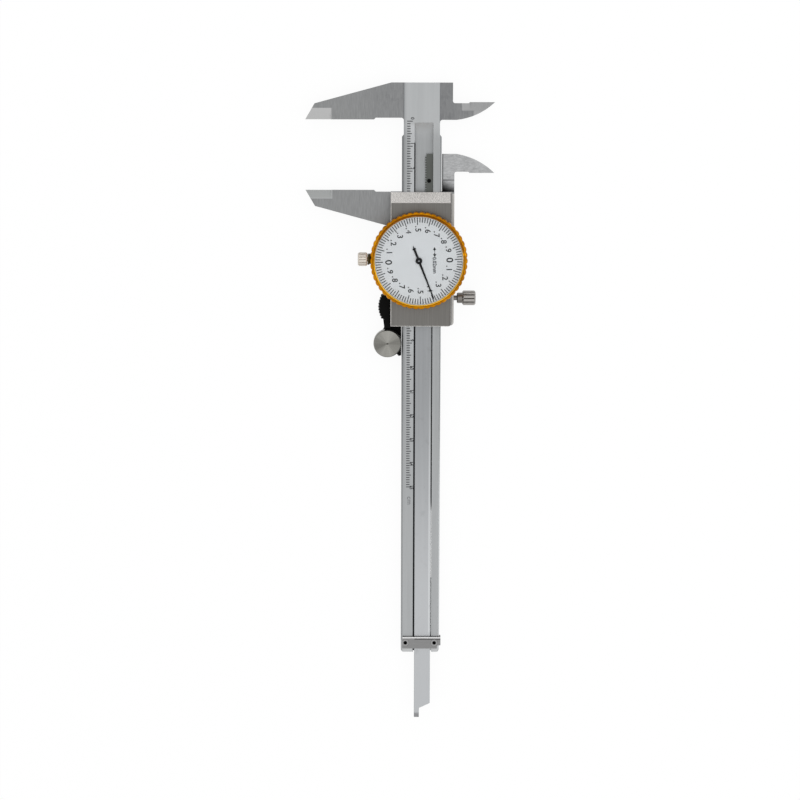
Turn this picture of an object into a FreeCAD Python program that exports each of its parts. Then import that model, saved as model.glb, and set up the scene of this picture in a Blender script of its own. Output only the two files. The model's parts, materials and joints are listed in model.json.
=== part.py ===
"""Dial caliper, 150 mm range, 0.02 mm dial, lying on its back with the dial up.

Frame: origin on the beam's back face, on its centre line, level with the fixed outside jaw's
measuring face.  +X points to the inside jaws, +Y along the beam to the fixed jaws, +Z out of
the dial.  Millimetres.  The slider stands open by jaw_opening.
"""

import FreeCAD
import Part

import math
import os

# Reading
measuring_range = 150.0
jaw_opening = 28.393
dial_travel_per_turn = 2.0

# Beam with the fixed jaws
beam_width = 16.0
beam_thickness = 3.8
beam_tail = 71.05           # past the end of the measuring range
beam_corner = 1.2
edge_bevel_width = 0.7
edge_bevel_depth = 0.5
neck_relief = 0.7           # the beam is ground narrower next to the fixed jaws
neck_length = 6.0
neck_ramp = 0.9
neck_fillet = 1.0

# Channel in the beam's front, for the rack and the depth rod
channel_left = -2.95
channel_width = 7.6
channel_depth = 2.4
channel_start = 1.2         # below the measuring face
channel_cutter_radius = 12.9

# Outside jaws
jaw_front_step = 0.3        # jaws are ground below the beam's front
jaw_back_step = 0.2
jaw_height = 14.75
jaw_reach = 47.0            # tip, from the beam's centre line
jaw_knee_reach = 43.2
jaw_knee_height = 6.4
jaw_shoulder = 12.3
jaw_face_end = 19.3         # the measuring face runs from the tip to here
jaw_face_relief = 0.7
knife_length = 10.4
knife_height = 4.6
knife_depth = 0.9

# Inside jaws
inside_reach = 29.4
inside_edge_height = 7.0    # measuring edge, above the outside measuring face
inside_edge_relief = 0.45
inside_edge_start = 19.3
inside_root = 14.0          # where the curved back begins
inside_bulge = (22.3, 2.2)  # a point that the fixed jaw's curved back passes through
moving_blade_rise = 14.6    # top of the moving one, above its outside measuring face
moving_bulge_drop = 2.2
inside_knife_height = 3.0
inside_knife_depth = 1.0
inside_side_gap = 0.1       # between the two blades as they pass
fixed_shoulder = 12.45
blade_neck_left = 8.25
slider_right = 13.25
blade_fillet = 0.9

# Slider frame
slider_top_relief = 0.7     # slider's end, below the moving measuring face
slider_length = 54.2
slider_left = -12.5
slider_back_wall = 2.34
slider_clearance = 0.06
slider_corner = 1.2
slider_back_chamfer = 0.5

# Gib, its screws and the lock screw
gib_thickness = 1.0
gib_end_gap = 2.0
gib_screw_radius = 0.9
gib_screw_inset = (7.3, 4.4)  # from the slider's two ends
lock_screw_drop = 43.1      # below the slider's top end
lock_thread_radius = 1.0
lock_neck_radius = 2.15
lock_neck_length = 2.2
lock_neck_gap = 1.3
lock_head_radius = 3.0
lock_head_length = 5.4
lock_flutes = 12
flute_depth = 0.4

# Block on the front of the slider
block_height = 4.34
block_right_step = 1.2
block_bevel_length = 4.1
block_bevel_lip = 0.25
block_edge_chamfer = 0.25
block_screw_radius = 0.9
block_screw_inset = 1.95    # from each side of the block
block_screw_pitch = 18.0
block_head_radius = 1.7
block_head_height = 1.6
block_thread_depth = 4.4

# Dial, measured from the beam's centre line and the moving measuring face
dial_x = -1.1
dial_drop = 27.75
dial_turn = 2.35            # degrees by which the dial's zero is turned from +X
case_radius = 17.3
case_wall = 1.0
case_floor = 0.7
case_height = 3.9
case_screw_inset = 8.3      # from the case's outside
case_screw_radius = 0.8
case_screw_head = 1.5
case_screw_depth = 2.6
bezel_clearance = 0.15
bezel_skirt_lift = 1.4      # bezel's lower edge, above the block
bezel_wall = 1.75          # at the valleys of the grip
bezel_bump_height = 0.5
bezel_bumps = 50
bezel_flange_height = 4.3
bezel_grip_step = 0.75     # ring above the grip is smaller by this much
bezel_ring_wall = 0.5
bezel_bevel = 0.5
bezel_rim_cover = 0.15      # how far the rim reaches over the crystal
bezel_height = 4.95
dial_ledge_width = 1.25
dial_thickness = 0.4
dial_hole = 1.1
crystal_gap = 1.2           # air between the dial and the crystal
crystal_thickness = 0.75
crystal_crown = 0.25
crystal_edge = 1.6          # width of the slope round the raised middle
spacer_wall = 0.45
seat_play = 0.05
retainer_width = 0.6
retainer_height = 0.45
retainer_lift = 2.1
retainer_bite = 0.3
retainer_gap_angle = 24.0

# Bezel clamp
clamp_lug_width = 4.2
clamp_lug_gap = 0.25       # between the bezel's bumps and the lug
clamp_lug_thickness = 0.7
clamp_lug_height = 4.2
clamp_thread_radius = 0.9
clamp_head_radius = 2.75
clamp_head_length = 3.8
clamp_axis_lift = 2.4       # above the block
clamp_rise = 0.45           # above the dial's centre line
clamp_flutes = 16

# Movement
rack_pitch = 1.0
rack_addendum_share = 0.8
rack_thickness = 1.1
rack_top = 13.8             # rack's upper end, below the fixed measuring face
rack_run_past = 4.0
rack_body_left = 1.35       # tips of the rack's teeth
pinion_teeth = 10
pinion_floor_gap = 0.12
pressure_angle = 20.0
tooth_play = 0.05
wheel_teeth = 80
wheel_module = 0.16
wheel_thickness = 0.4
wheel_lift = 0.35           # above the lower plate
plate_thickness = 0.7
plate_gap = 0.7             # from the plates to the case's wall
bridge_gap = 1.7            # between the two plates
bridge_thickness = 0.6
bridge_window_radius = 3.4
arbor_radius = 0.6
pivot_play = 0.02
bush_radius = 1.3
pillar_radius = 1.2
pillar_inset = 2.4          # from the plates' edge
pillar_angles = (35.0, 150.0, 230.0)
bridge_screw_radius = 0.6
bridge_head_radius = 1.1
bridge_head_height = 0.35
return_angle = 110.0        # where the return wheel stands, seen from the dial's centre
hairspring_start = 1.25
hairspring_pitch = 0.5
hairspring_half_turns = 8
hairspring_ribbon = 0.12
hairspring_height = 0.3
hairspring_lift = 0.25
stud_radius = 0.3

# Pointer
pointer_end_gap = 1.5       # from the dial's edge
pointer_tail = 6.3
pointer_root_width = 0.85
pointer_tip_width = 0.34
pointer_tail_width = 0.6
pointer_spade_width = 1.3
pointer_spade_length = 2.2
pointer_spade_neck = 0.6
pointer_thickness = 0.15
pointer_hub_radius = 1.25
pointer_hub_height = 0.5
pointer_lift = 0.22         # above the dial

# Depth rod and the stop at the beam's end
rod_left = -2.4
rod_width = 6.65
rod_thickness = 1.16
rod_sink = 0.08             # below the beam's front
rod_start_gap = 1.3         # between the pinion and the rod's upper end
rod_nib_width = 2.1
rod_nib_length = 4.3
rod_nib_slope = 1.8
rod_nib_fillet = 0.8
rod_screw_radius = 0.8
rod_screw_head = 1.5
rod_screw_depth = 2.4
rod_screw_inset = (3.2, 10.0)
stop_inset = 1.75           # from the beam's end
stop_width = 4.9
stop_left = -7.4
stop_thickness = 1.2
stop_lip_wall = 0.55
stop_lip_drop = 2.4
stop_lip_width = 3.5
stop_screw_x = (-6.1, 5.95)
stop_screw_radius = 0.8
stop_screw_head = 1.5
stop_screw_depth = 3.0
socket_radius = 0.72
socket_depth = 0.7
rack_screw_x = 3.0
rack_screw_first = 24.6     # below the fixed measuring face
rack_screw_count = 3
rack_screw_radius = 0.55
rack_screw_head = 0.85
rack_screw_depth = 0.8

# Thumb rest and roller
roller_radius = 5.72
roller_play = 0.04
roller_drop = 7.5           # below the slider's lower end
roller_bottom = 0.5
roller_height = 4.7
roller_rim_chamfer = 0.45
roller_shaft_radius = 1.2
roller_washer_radius = 2.4
clip_radius = 2.1
clip_thickness = 0.35
rest_bottom = -1.8
rest_floor_top = 0.38
rest_top = 4.1
rest_teeth = 9
rest_tooth_depth = 0.75
rest_arc_radius = 10.2
rest_tooth_angle = 6.7
rest_bulge = 5.07           # teeth stand out from the slider's side by this much
rest_centre_rise = 7.4      # above the slider's lower end
rest_plate_radius = 5.2
rest_nub_width = 1.5        # corner that shows below the roller
rest_screw_radius = 0.9
rest_screw_head = 1.6
rest_screw_pitch = 5.6
rest_screw_bite = 2.6

# Places worked out from the sizes
half_width = beam_width / 2
half_neck = half_width - neck_relief
beam_end = -(measuring_range + beam_tail)
jaw_back = jaw_back_step
jaw_front = beam_thickness - jaw_front_step
blade_mid = (jaw_back + jaw_front) / 2
channel_floor = beam_thickness - channel_depth
channel_right = channel_left + channel_width
moving_face = -jaw_opening
slider_top = moving_face - slider_top_relief
slider_bottom = slider_top - slider_length
slider_front = beam_thickness + slider_clearance
slider_back = -slider_clearance - slider_back_wall
tunnel_left = -half_width - slider_clearance
gib_left = half_width + slider_clearance
tunnel_right = gib_left + gib_thickness + slider_clearance
block_front = slider_front + block_height
block_right = slider_right - block_right_step
beam_middle = beam_thickness / 2
lock_y = slider_top - lock_screw_drop
gib_screw_y = (slider_top - gib_screw_inset[0], slider_bottom + gib_screw_inset[1])
dial_y = moving_face - dial_drop

pinion_radius = pinion_teeth * rack_pitch / (2 * math.pi)
rack_module = rack_pitch / math.pi
rack_addendum = rack_addendum_share * rack_module
rack_dedendum = 1.15 * rack_module
rack_arbor_x = rack_body_left + rack_addendum - pinion_radius
rack_floor = channel_floor
rack_face = rack_floor + rack_thickness
centre_teeth = round(wheel_teeth * dial_travel_per_turn / (pinion_teeth * rack_pitch))
wheel_distance = wheel_module * (wheel_teeth + centre_teeth) / 2
rack_arbor_side = rack_arbor_x - dial_x
rack_arbor_y = dial_y - math.sqrt(wheel_distance ** 2 - rack_arbor_side ** 2)
return_x = dial_x + wheel_distance * math.cos(math.radians(return_angle))
return_y = dial_y + wheel_distance * math.sin(math.radians(return_angle))
rack_end = rack_arbor_y + jaw_opening - measuring_range - rack_run_past

case_top = block_front + case_height
plate_bottom = block_front + case_floor
plate_top = plate_bottom + plate_thickness
wheel_bottom = plate_top + wheel_lift
wheel_top = wheel_bottom + wheel_thickness
bridge_bottom = plate_top + bridge_gap
bridge_top = bridge_bottom + bridge_thickness
bezel_bottom = block_front + bezel_skirt_lift
bezel_inner = case_radius + bezel_clearance
bezel_valley_radius = bezel_inner + bezel_wall
bezel_ring_radius = bezel_valley_radius - bezel_grip_step
dial_radius = bezel_ring_radius - bezel_ring_wall
bezel_opening = dial_radius - bezel_rim_cover
dial_ledge_inner = dial_radius - dial_ledge_width
case_screw_circle = case_radius - case_screw_inset
plate_radius = case_radius - case_wall - plate_gap
pillar_circle = plate_radius - pillar_inset
pointer_length = dial_radius - pointer_end_gap
dial_bottom = case_top + bezel_clearance + 0.2
dial_top = dial_bottom + dial_thickness
crystal_bottom = dial_top + crystal_gap
crystal_top = crystal_bottom + crystal_thickness
bezel_top = bezel_bottom + bezel_height
bezel_tip_radius = bezel_valley_radius + bezel_bump_height
clamp_y = dial_y + clamp_rise
clamp_z = block_front + clamp_axis_lift
lug_inner = bezel_tip_radius + clamp_lug_gap
lug_outer = lug_inner + clamp_lug_thickness

rod_right = rod_left + rod_width
rod_front = beam_thickness - rod_sink
rod_back = rod_front - rod_thickness
rod_top = rack_arbor_y - pinion_radius - rack_addendum - rod_start_gap
rod_end = beam_end - jaw_opening
rod_middle = (rod_left + rod_right) / 2
rod_screw_y = (rod_top - rod_screw_inset[0], rod_top - rod_screw_inset[1])
stop_top = beam_end + stop_inset + stop_width
stop_bottom = beam_end + stop_inset
stop_y = (stop_top + stop_bottom) / 2

roller_x = -half_width - roller_radius - roller_play
roller_y = slider_bottom - roller_drop
rest_centre_y = slider_bottom + rest_centre_rise
rest_right = -half_width - 3 * roller_play


def box(x0, x1, y0, y1, z0, z1):
    return Part.makeBox(x1 - x0, y1 - y0, z1 - z0, FreeCAD.Vector(x0, y0, z0))


def post(x, y, z0, z1, radius):
    """A round bar along Z."""
    return Part.makeCylinder(radius, z1 - z0, FreeCAD.Vector(x, y, z0))


def bar_x(x0, x1, y, z, radius):
    """A round bar along X."""
    return Part.makeCylinder(radius, x1 - x0, FreeCAD.Vector(x0, y, z), FreeCAD.Vector(1, 0, 0))


def ring(x, y, z0, z1, inner, outer):
    return post(x, y, z0, z1, outer).cut(post(x, y, z0, z1, inner))


def outline(points):
    """A flat face at z = 0.  A point is (x, y), or (mid, end) for an arc that ends there."""
    def vector(p):
        return FreeCAD.Vector(p[0], p[1], 0)

    edges = []
    here = points[0]
    for item in points[1:] + [points[0]]:
        if isinstance(item[0], tuple):
            middle, there = item
            edges.append(Part.Arc(vector(here), vector(middle), vector(there)).toShape())
        else:
            there = item
            edges.append(Part.LineSegment(vector(here), vector(there)).toShape())
        here = there
    return Part.Face(Part.Wire(edges))


def slab(points, z0, z1):
    face = outline(points)
    face.translate(FreeCAD.Vector(0, 0, z0))
    return face.extrude(FreeCAD.Vector(0, 0, z1 - z0))


def prism_y(section, y0, y1):
    """A section of (x, z) points, run along Y."""
    corners = [FreeCAD.Vector(x, y0, z) for x, z in section]
    face = Part.Face(Part.makePolygon(corners + corners[:1]))
    return face.extrude(FreeCAD.Vector(0, y1 - y0, 0))


def prism_x(section, x0, x1):
    """A section of (y, z) points, run along X."""
    corners = [FreeCAD.Vector(x0, y, z) for y, z in section]
    face = Part.Face(Part.makePolygon(corners + corners[:1]))
    return face.extrude(FreeCAD.Vector(x1 - x0, 0, 0))


def revolve_z(section, x, y):
    """A closed section of (radius, z) points, turned about the vertical axis through x, y."""
    corners = [FreeCAD.Vector(r, 0, z) for r, z in section]
    face = Part.Face(Part.makePolygon(corners + corners[:1]))
    solid = face.revolve(FreeCAD.Vector(0, 0, 0), FreeCAD.Vector(0, 0, 1), 360)
    solid.translate(FreeCAD.Vector(x, y, 0))
    return solid


def around(count, x, y, z, axis, tool):
    """Copies of tool, evenly turned about an axis, as one compound."""
    copies = []
    for i in range(count):
        copy = tool.copy()
        copy.rotate(FreeCAD.Vector(x, y, z), FreeCAD.Vector(*axis), 360.0 * i / count)
        copies.append(copy)
    return Part.makeCompound(copies)


def polar(x, y, radius, degrees):
    angle = math.radians(degrees)
    return (x + radius * math.cos(angle), y + radius * math.sin(angle))


def save(name, shape):
    solids = [s for s in shape.Solids]
    kept = solids[0] if len(solids) == 1 else Part.makeCompound(solids)
    kept.exportStep(os.path.join("parts", name + ".step"))


# Screws

def flat_head_screw(x, y, face, radius, head, length, down):
    """A countersunk screw whose flat face lies at z = face.  down is -1 where it points down."""
    cone = abs(head - radius)
    section = [(0, 0), (head, 0), (radius, cone), (radius, length), (0, length)]
    return revolve_z([(r, face + down * z) for r, z in section], x, y)


def round_head_screw(x, y, seat, radius, head, head_height, length):
    """A cheese-head screw along Z, with its head standing on z = seat."""
    head_part = post(x, y, seat, seat + head_height, head)
    slot = box(x - head, x + head, y - head / 7, y + head / 7,
               seat + head_height / 2, seat + head_height)
    return head_part.fuse(post(x, y, seat - length, seat, radius)).cut(slot).removeSplitter()


def fluted_knob(x0, length, y, z, radius, flutes):
    """A knob along +X with rounded grip flutes and broken edges."""
    chamfer = radius / 6
    section = [(0, 0), (radius - chamfer, 0), (radius, chamfer),
               (radius, length - chamfer), (radius - chamfer, length), (0, length)]
    knob = revolve_z(section, 0, 0)
    floor_at = radius - flute_depth
    half = 0.3 * math.pi * radius / flutes
    groove = slab([(floor_at, half / 2), (floor_at, -half / 2), (radius + 0.2, -1.6 * half),
                   (radius + 0.2, 1.6 * half)], -chamfer, length + chamfer)
    knob = knob.cut(around(flutes, 0, 0, 0, (0, 0, 1), groove))
    knob.rotate(FreeCAD.Vector(0, 0, 0), FreeCAD.Vector(0, 1, 0), 90)
    knob.translate(FreeCAD.Vector(x0, y, z))
    return knob


# Gear teeth

def involute(angle):
    return math.tan(angle) - angle


def gear_blank(teeth, module, addendum, dedendum, steps, tooth_at, x, y, z0, z1):
    """A spur gear with one tooth centred on the angle tooth_at.  steps is points per flank."""
    pitch_radius = teeth * module / 2
    pressure = math.radians(pressure_angle)
    base = pitch_radius * math.cos(pressure)
    root = pitch_radius - dedendum
    tip = pitch_radius + addendum
    half_tooth = math.pi / (2 * teeth) - tooth_play / (2 * pitch_radius)

    def half_angle(radius):
        inside = min(1.0, base / max(radius, base))
        return half_tooth + involute(pressure) - involute(math.acos(inside))

    start = max(base, root)
    radii = [start + (tip - start) * i / (steps - 1) for i in range(steps)]
    if root < base:
        radii = [root] + radii
    points = []
    for i in range(teeth):
        middle = tooth_at + 360.0 * i / teeth
        flank = [(r, math.degrees(half_angle(r))) for r in radii]
        points += [polar(x, y, r, middle - a) for r, a in flank]
        points += [polar(x, y, r, middle + a) for r, a in reversed(flank)]
    return slab(points, z0, z1)


def rack_teeth_line():
    """Points down the rack's toothed side, with a gap level with the pinion's axis."""
    slope = math.tan(math.radians(pressure_angle))
    pitch_line = rack_body_left + rack_addendum
    root_x = pitch_line + rack_dedendum
    half_pitch_tooth = rack_pitch / 4 - tooth_play / 2
    half_tip = half_pitch_tooth - rack_addendum * slope
    half_root = half_pitch_tooth + rack_dedendum * slope
    highest = math.floor((-rack_top - rack_pitch - rack_arbor_y) / rack_pitch - 0.5)
    lowest = math.ceil((rack_end + rack_pitch - rack_arbor_y) / rack_pitch - 0.5)
    points = []
    for n in range(highest, lowest - 1, -1):
        tooth = rack_arbor_y + (n + 0.5) * rack_pitch
        points += [(root_x, tooth + half_root), (rack_body_left, tooth + half_tip),
                   (rack_body_left, tooth - half_tip), (root_x, tooth - half_root)]
    return root_x, points


# The beam and what is fixed to it

def outside_jaw(face_y, up):
    """One outside jaw, seen from the front.  up is 1 for the fixed jaw, -1 for the moving one."""
    def at(x, rise):
        return (x, face_y + up * rise)

    slope = (jaw_height - jaw_knee_height) / (jaw_knee_reach - jaw_shoulder)
    inner = half_neck - 0.3 if up > 0 else -slider_left - 0.3
    points = [at(-inner, jaw_height)]
    points += [at(-jaw_shoulder, jaw_height)] if up > 0 else []
    if up < 0:
        points = [at(-inner, jaw_height + slope * (jaw_shoulder - inner))]
    points += [at(-jaw_knee_reach, jaw_knee_height), at(-jaw_reach, 0), at(-jaw_face_end, 0),
               at(-jaw_face_end + jaw_face_relief, jaw_face_relief)]
    if up > 0:
        corner = half_neck + neck_fillet
        bend = neck_fillet * (1 - math.sqrt(0.5))
        points += [at(-corner, jaw_face_relief),
                   (at(-half_neck - bend, jaw_face_relief - bend),
                    at(-half_neck, jaw_face_relief - neck_fillet)),
                   at(-inner, jaw_face_relief - neck_fillet)]
    else:
        points += [at(-inner, jaw_face_relief)]
    jaw = slab(points, jaw_back, jaw_front)
    for near, far in ((jaw_front, jaw_front + 1), (jaw_back, jaw_back - 1)):
        inward = -knife_depth if near == jaw_front else knife_depth
        wedge = prism_x([(face_y - up, near + inward * (1 + 1 / knife_height)),
                         (face_y - up, far),
                         (face_y + up * knife_height, far),
                         (face_y + up * knife_height, near)],
                        -jaw_reach - 1, -jaw_reach + knife_length)
        jaw = jaw.cut(wedge)
    return jaw


def inside_blade(face_y, up, z0, z1, curve, root_points, knife_side):
    """One inside jaw: straight measuring edge, curved back, thin edge on knife_side."""
    edge_y = face_y + inside_edge_height
    points = root_points[0] + [
        (inside_edge_start - inside_edge_relief, edge_y - up * inside_edge_relief),
        (inside_edge_start, edge_y), (inside_reach, edge_y), curve] + root_points[1]
    blade = slab(points, z0, z1)
    near = z1 if knife_side > 0 else z0
    thin = near - knife_side * inside_knife_depth
    wedge = prism_x([(edge_y + up, thin - knife_side * 0.3), (edge_y + up, near + knife_side),
                     (edge_y - up * inside_knife_height, near + knife_side),
                     (edge_y - up * inside_knife_height, near)],
                    inside_edge_start, inside_reach + 1)
    return blade.cut(wedge)


def beam():
    corner = beam_corner
    bend = corner * (1 - math.sqrt(0.5))
    neck_end = -neck_length
    side_end = neck_end - neck_ramp
    bar = slab([(-half_neck, jaw_height), (half_neck, jaw_height), (half_neck, neck_end),
                (half_width, side_end), (half_width, beam_end + corner),
                ((half_width - bend, beam_end + bend), (half_width - corner, beam_end)),
                (-half_width + corner, beam_end),
                ((-half_width + bend, beam_end + bend), (-half_width, beam_end + corner)),
                (-half_width, side_end), (-half_neck, neck_end)], 0, beam_thickness)
    for side in (-1, 1):
        inner = half_width - edge_bevel_width
        bevel = [(side * half_width, beam_thickness - edge_bevel_depth),
                 (side * inner, beam_thickness), (side * inner, beam_thickness + 1),
                 (side * (half_width + 1), beam_thickness + 1),
                 (side * (half_width + 1), beam_thickness - edge_bevel_depth)]
        bar = bar.cut(prism_y(bevel, beam_end - 1, neck_end))
    run_out = math.sqrt(channel_cutter_radius ** 2
                        - (channel_cutter_radius - channel_depth) ** 2)
    full_depth = -channel_start - run_out
    cutter = bar_x(channel_left, channel_right, full_depth,
                   channel_floor + channel_cutter_radius, channel_cutter_radius)
    groove = box(channel_left, channel_right, beam_end - 1, full_depth,
                 channel_floor, beam_thickness + 1)
    bar = bar.cut(cutter.fuse(groove))

    shoulder_fillet = blade_fillet
    bend = shoulder_fillet * (1 - math.sqrt(0.5))
    low = inside_edge_height - inside_edge_relief
    corner = half_neck + neck_fillet
    neck_bend = neck_fillet * (1 - math.sqrt(0.5))
    before = [(half_neck - 0.3, jaw_height), (fixed_shoulder, jaw_height),
              (fixed_shoulder, low + shoulder_fillet),
              ((fixed_shoulder + bend, low + bend), (fixed_shoulder + shoulder_fillet, low))]
    after = [(corner, -0.1),
             ((half_neck + neck_bend, -0.1 - neck_bend), (half_neck, -0.1 - neck_fillet)),
             (half_neck - 0.3, -0.1 - neck_fillet)]
    curve = (inside_bulge, (inside_root, -0.1))
    blade = inside_blade(0, 1, blade_mid + inside_side_gap / 2, jaw_front, curve,
                         (before, after), 1)
    solid = bar.fuse([outside_jaw(0, 1), blade])
    for y in rack_screw_places():
        solid = solid.cut(post(rack_screw_x, y, channel_floor - rack_screw_depth,
                               channel_floor + 1, rack_screw_radius))
    for x in stop_screw_x:
        solid = solid.cut(post(x, stop_y, beam_thickness - stop_screw_depth,
                               beam_thickness + 1, stop_screw_radius))
    return solid.removeSplitter()


def rack_screw_places():
    last = rack_end + rack_run_past / 2 + 1
    step = (last + rack_screw_first) / (rack_screw_count - 1)
    return [-rack_screw_first + step * i for i in range(rack_screw_count)]


def rack():
    root_x, teeth = rack_teeth_line()
    points = [(channel_right, rack_end), (channel_right, -rack_top),
              (root_x, -rack_top)] + teeth + [(root_x, rack_end)]
    bar = slab(points, rack_floor, rack_face)
    for y in rack_screw_places():
        bar = bar.cut(post(rack_screw_x, y, rack_floor - 1, rack_face + 1, rack_screw_head))
    return bar


def rack_screws():
    screws = []
    for y in rack_screw_places():
        head = post(rack_screw_x, y, rack_floor, rack_face - 0.2, rack_screw_head)
        shank = post(rack_screw_x, y, channel_floor - rack_screw_depth, rack_floor,
                     rack_screw_radius)
        well = post(rack_screw_x, y, rack_face - 0.7, rack_face, rack_screw_radius)
        screws.append(head.fuse(shank).cut(well).removeSplitter())
    return Part.makeCompound(screws)


def stop_plate():
    top = beam_thickness + stop_thickness
    lip_right = half_width + seat_play + stop_lip_wall
    plate = box(stop_left, lip_right, stop_bottom, stop_top, beam_thickness, top)
    lip = box(half_width + seat_play, lip_right, stop_top - stop_lip_width, stop_top,
              top - stop_thickness - stop_lip_drop, top)
    notch = box(half_width - 0.9, lip_right + 1, stop_bottom - 1, stop_top - stop_lip_width,
                beam_thickness - 1, top + 1)
    plate = plate.fuse(lip).cut(notch).removeSplitter()
    bevel = prism_x([(stop_top - 0.45, top), (stop_top, top - 0.45),
                     (stop_top + 1, top - 0.45), (stop_top + 1, top + 1),
                     (stop_top - 0.45, top + 1)], stop_left - 1, lip_right + 1)
    plate = plate.cut(bevel)
    for x in stop_screw_x:
        head = flat_head_screw(x, stop_y, top, stop_screw_radius + seat_play,
                               stop_screw_head + seat_play, stop_thickness + 1, -1)
        plate = plate.cut(head)
    return plate


def stop_screws():
    top = beam_thickness + stop_thickness
    screws = []
    for x in stop_screw_x:
        screw = flat_head_screw(x, stop_y, top, stop_screw_radius, stop_screw_head,
                                stop_thickness + stop_screw_depth, -1)
        screws.append(screw.cut(post(x, stop_y, top - socket_depth, top + 1, socket_radius)))
    return Part.makeCompound(screws)


# The slider frame, what guides it and what holds it

def block_screw_places():
    inset = block_screw_inset
    return [(x, dial_y + side * block_screw_pitch / 2)
            for x in (slider_left + inset, block_right - inset) for side in (-1, 1)]


def rest_screw_places():
    return [rest_centre_y + side * rest_screw_pitch / 2 for side in (-1, 1)]


def slider_frame():
    corner = slider_corner
    bend = corner * (1 - math.sqrt(0.5))
    frame = slab([(slider_left, slider_bottom), (slider_left, slider_top),
                  (slider_right, slider_top), (slider_right, slider_bottom + corner),
                  ((slider_right - bend, slider_bottom + bend),
                   (slider_right - corner, slider_bottom))], slider_back, slider_front)
    chamfer = slider_back_chamfer
    for x, side in ((slider_left, -1), (slider_right, 1)):
        frame = frame.cut(prism_y([(x, slider_back + chamfer),
                                   (x - side * chamfer, slider_back),
                                   (x - side * chamfer, slider_back - 1),
                                   (x + side, slider_back - 1), (x + side, slider_back + chamfer)],
                                  slider_bottom - 1, slider_top + 1))
    tunnel = box(tunnel_left, tunnel_right, slider_bottom - 1, slider_top + 1,
                 -slider_clearance, slider_front + 1)
    frame = frame.cut(tunnel)

    fillet = blade_fillet
    bend = fillet * (1 - math.sqrt(0.5))
    edge_y = moving_face + inside_edge_height
    low = edge_y + inside_edge_relief
    before = [(blade_neck_left, slider_top - 0.3), (slider_right, slider_top - 0.3),
              (slider_right, low - fillet),
              ((slider_right + bend, low - bend), (slider_right + fillet, low))]
    top = moving_face + moving_blade_rise
    after = [(blade_neck_left, top)]
    curve = ((inside_bulge[0] - 0.9, top - moving_bulge_drop), (inside_root, top))
    blade = inside_blade(moving_face, -1, jaw_back, blade_mid - inside_side_gap / 2, curve,
                         (before, after), -1)
    blade = blade.cut(box(0, tunnel_right, slider_top - 1, slider_top, -1, beam_thickness))
    frame = frame.fuse([outside_jaw(moving_face, -1), blade])

    frame = frame.cut(bar_x(tunnel_right - 1, slider_right + 1, lock_y, beam_middle,
                            lock_thread_radius))
    for y in gib_screw_y:
        frame = frame.cut(bar_x(tunnel_right - 1, slider_right + 1, y, beam_middle,
                                gib_screw_radius))
    for x, y in block_screw_places():
        frame = frame.cut(post(x, y, slider_front - block_thread_depth, slider_front + 1,
                               block_screw_radius))
    for y in rest_screw_places():
        frame = frame.cut(bar_x(slider_left - 1, slider_left + rest_screw_bite, y, beam_middle,
                                rest_screw_radius))
    return frame.removeSplitter()


def gib():
    return box(gib_left, gib_left + gib_thickness, slider_bottom + gib_end_gap,
               slider_top - gib_end_gap, jaw_back, jaw_front)


def gib_screws():
    screws = []
    for y in gib_screw_y:
        left = gib_left + gib_thickness
        screw = bar_x(left, slider_right - 0.25, y, beam_middle, gib_screw_radius)
        slot = box(slider_right - 0.7, slider_right + 1, y - 0.18, y + 0.18, -1, beam_thickness + 1)
        screws.append(screw.cut(slot))
    return Part.makeCompound(screws)


def lock_screw():
    neck_start = slider_right + lock_neck_gap
    head_start = neck_start + lock_neck_length
    thread = bar_x(gib_left + gib_thickness, head_start, lock_y, beam_middle,
                   lock_thread_radius)
    neck = bar_x(neck_start, head_start, lock_y, beam_middle, lock_neck_radius)
    neck = neck.makeChamfer(0.3, [e for e in neck.Edges if abs(e.CenterOfMass.x - neck_start) < 0.01])
    head = fluted_knob(head_start, lock_head_length, lock_y, beam_middle,
                       lock_head_radius, lock_flutes)
    return thread.fuse([neck, head]).removeSplitter()


# The block that carries the dial

def case_screw_places():
    return [polar(dial_x, dial_y, case_screw_circle, a) for a in (0, 90, 180)]


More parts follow.
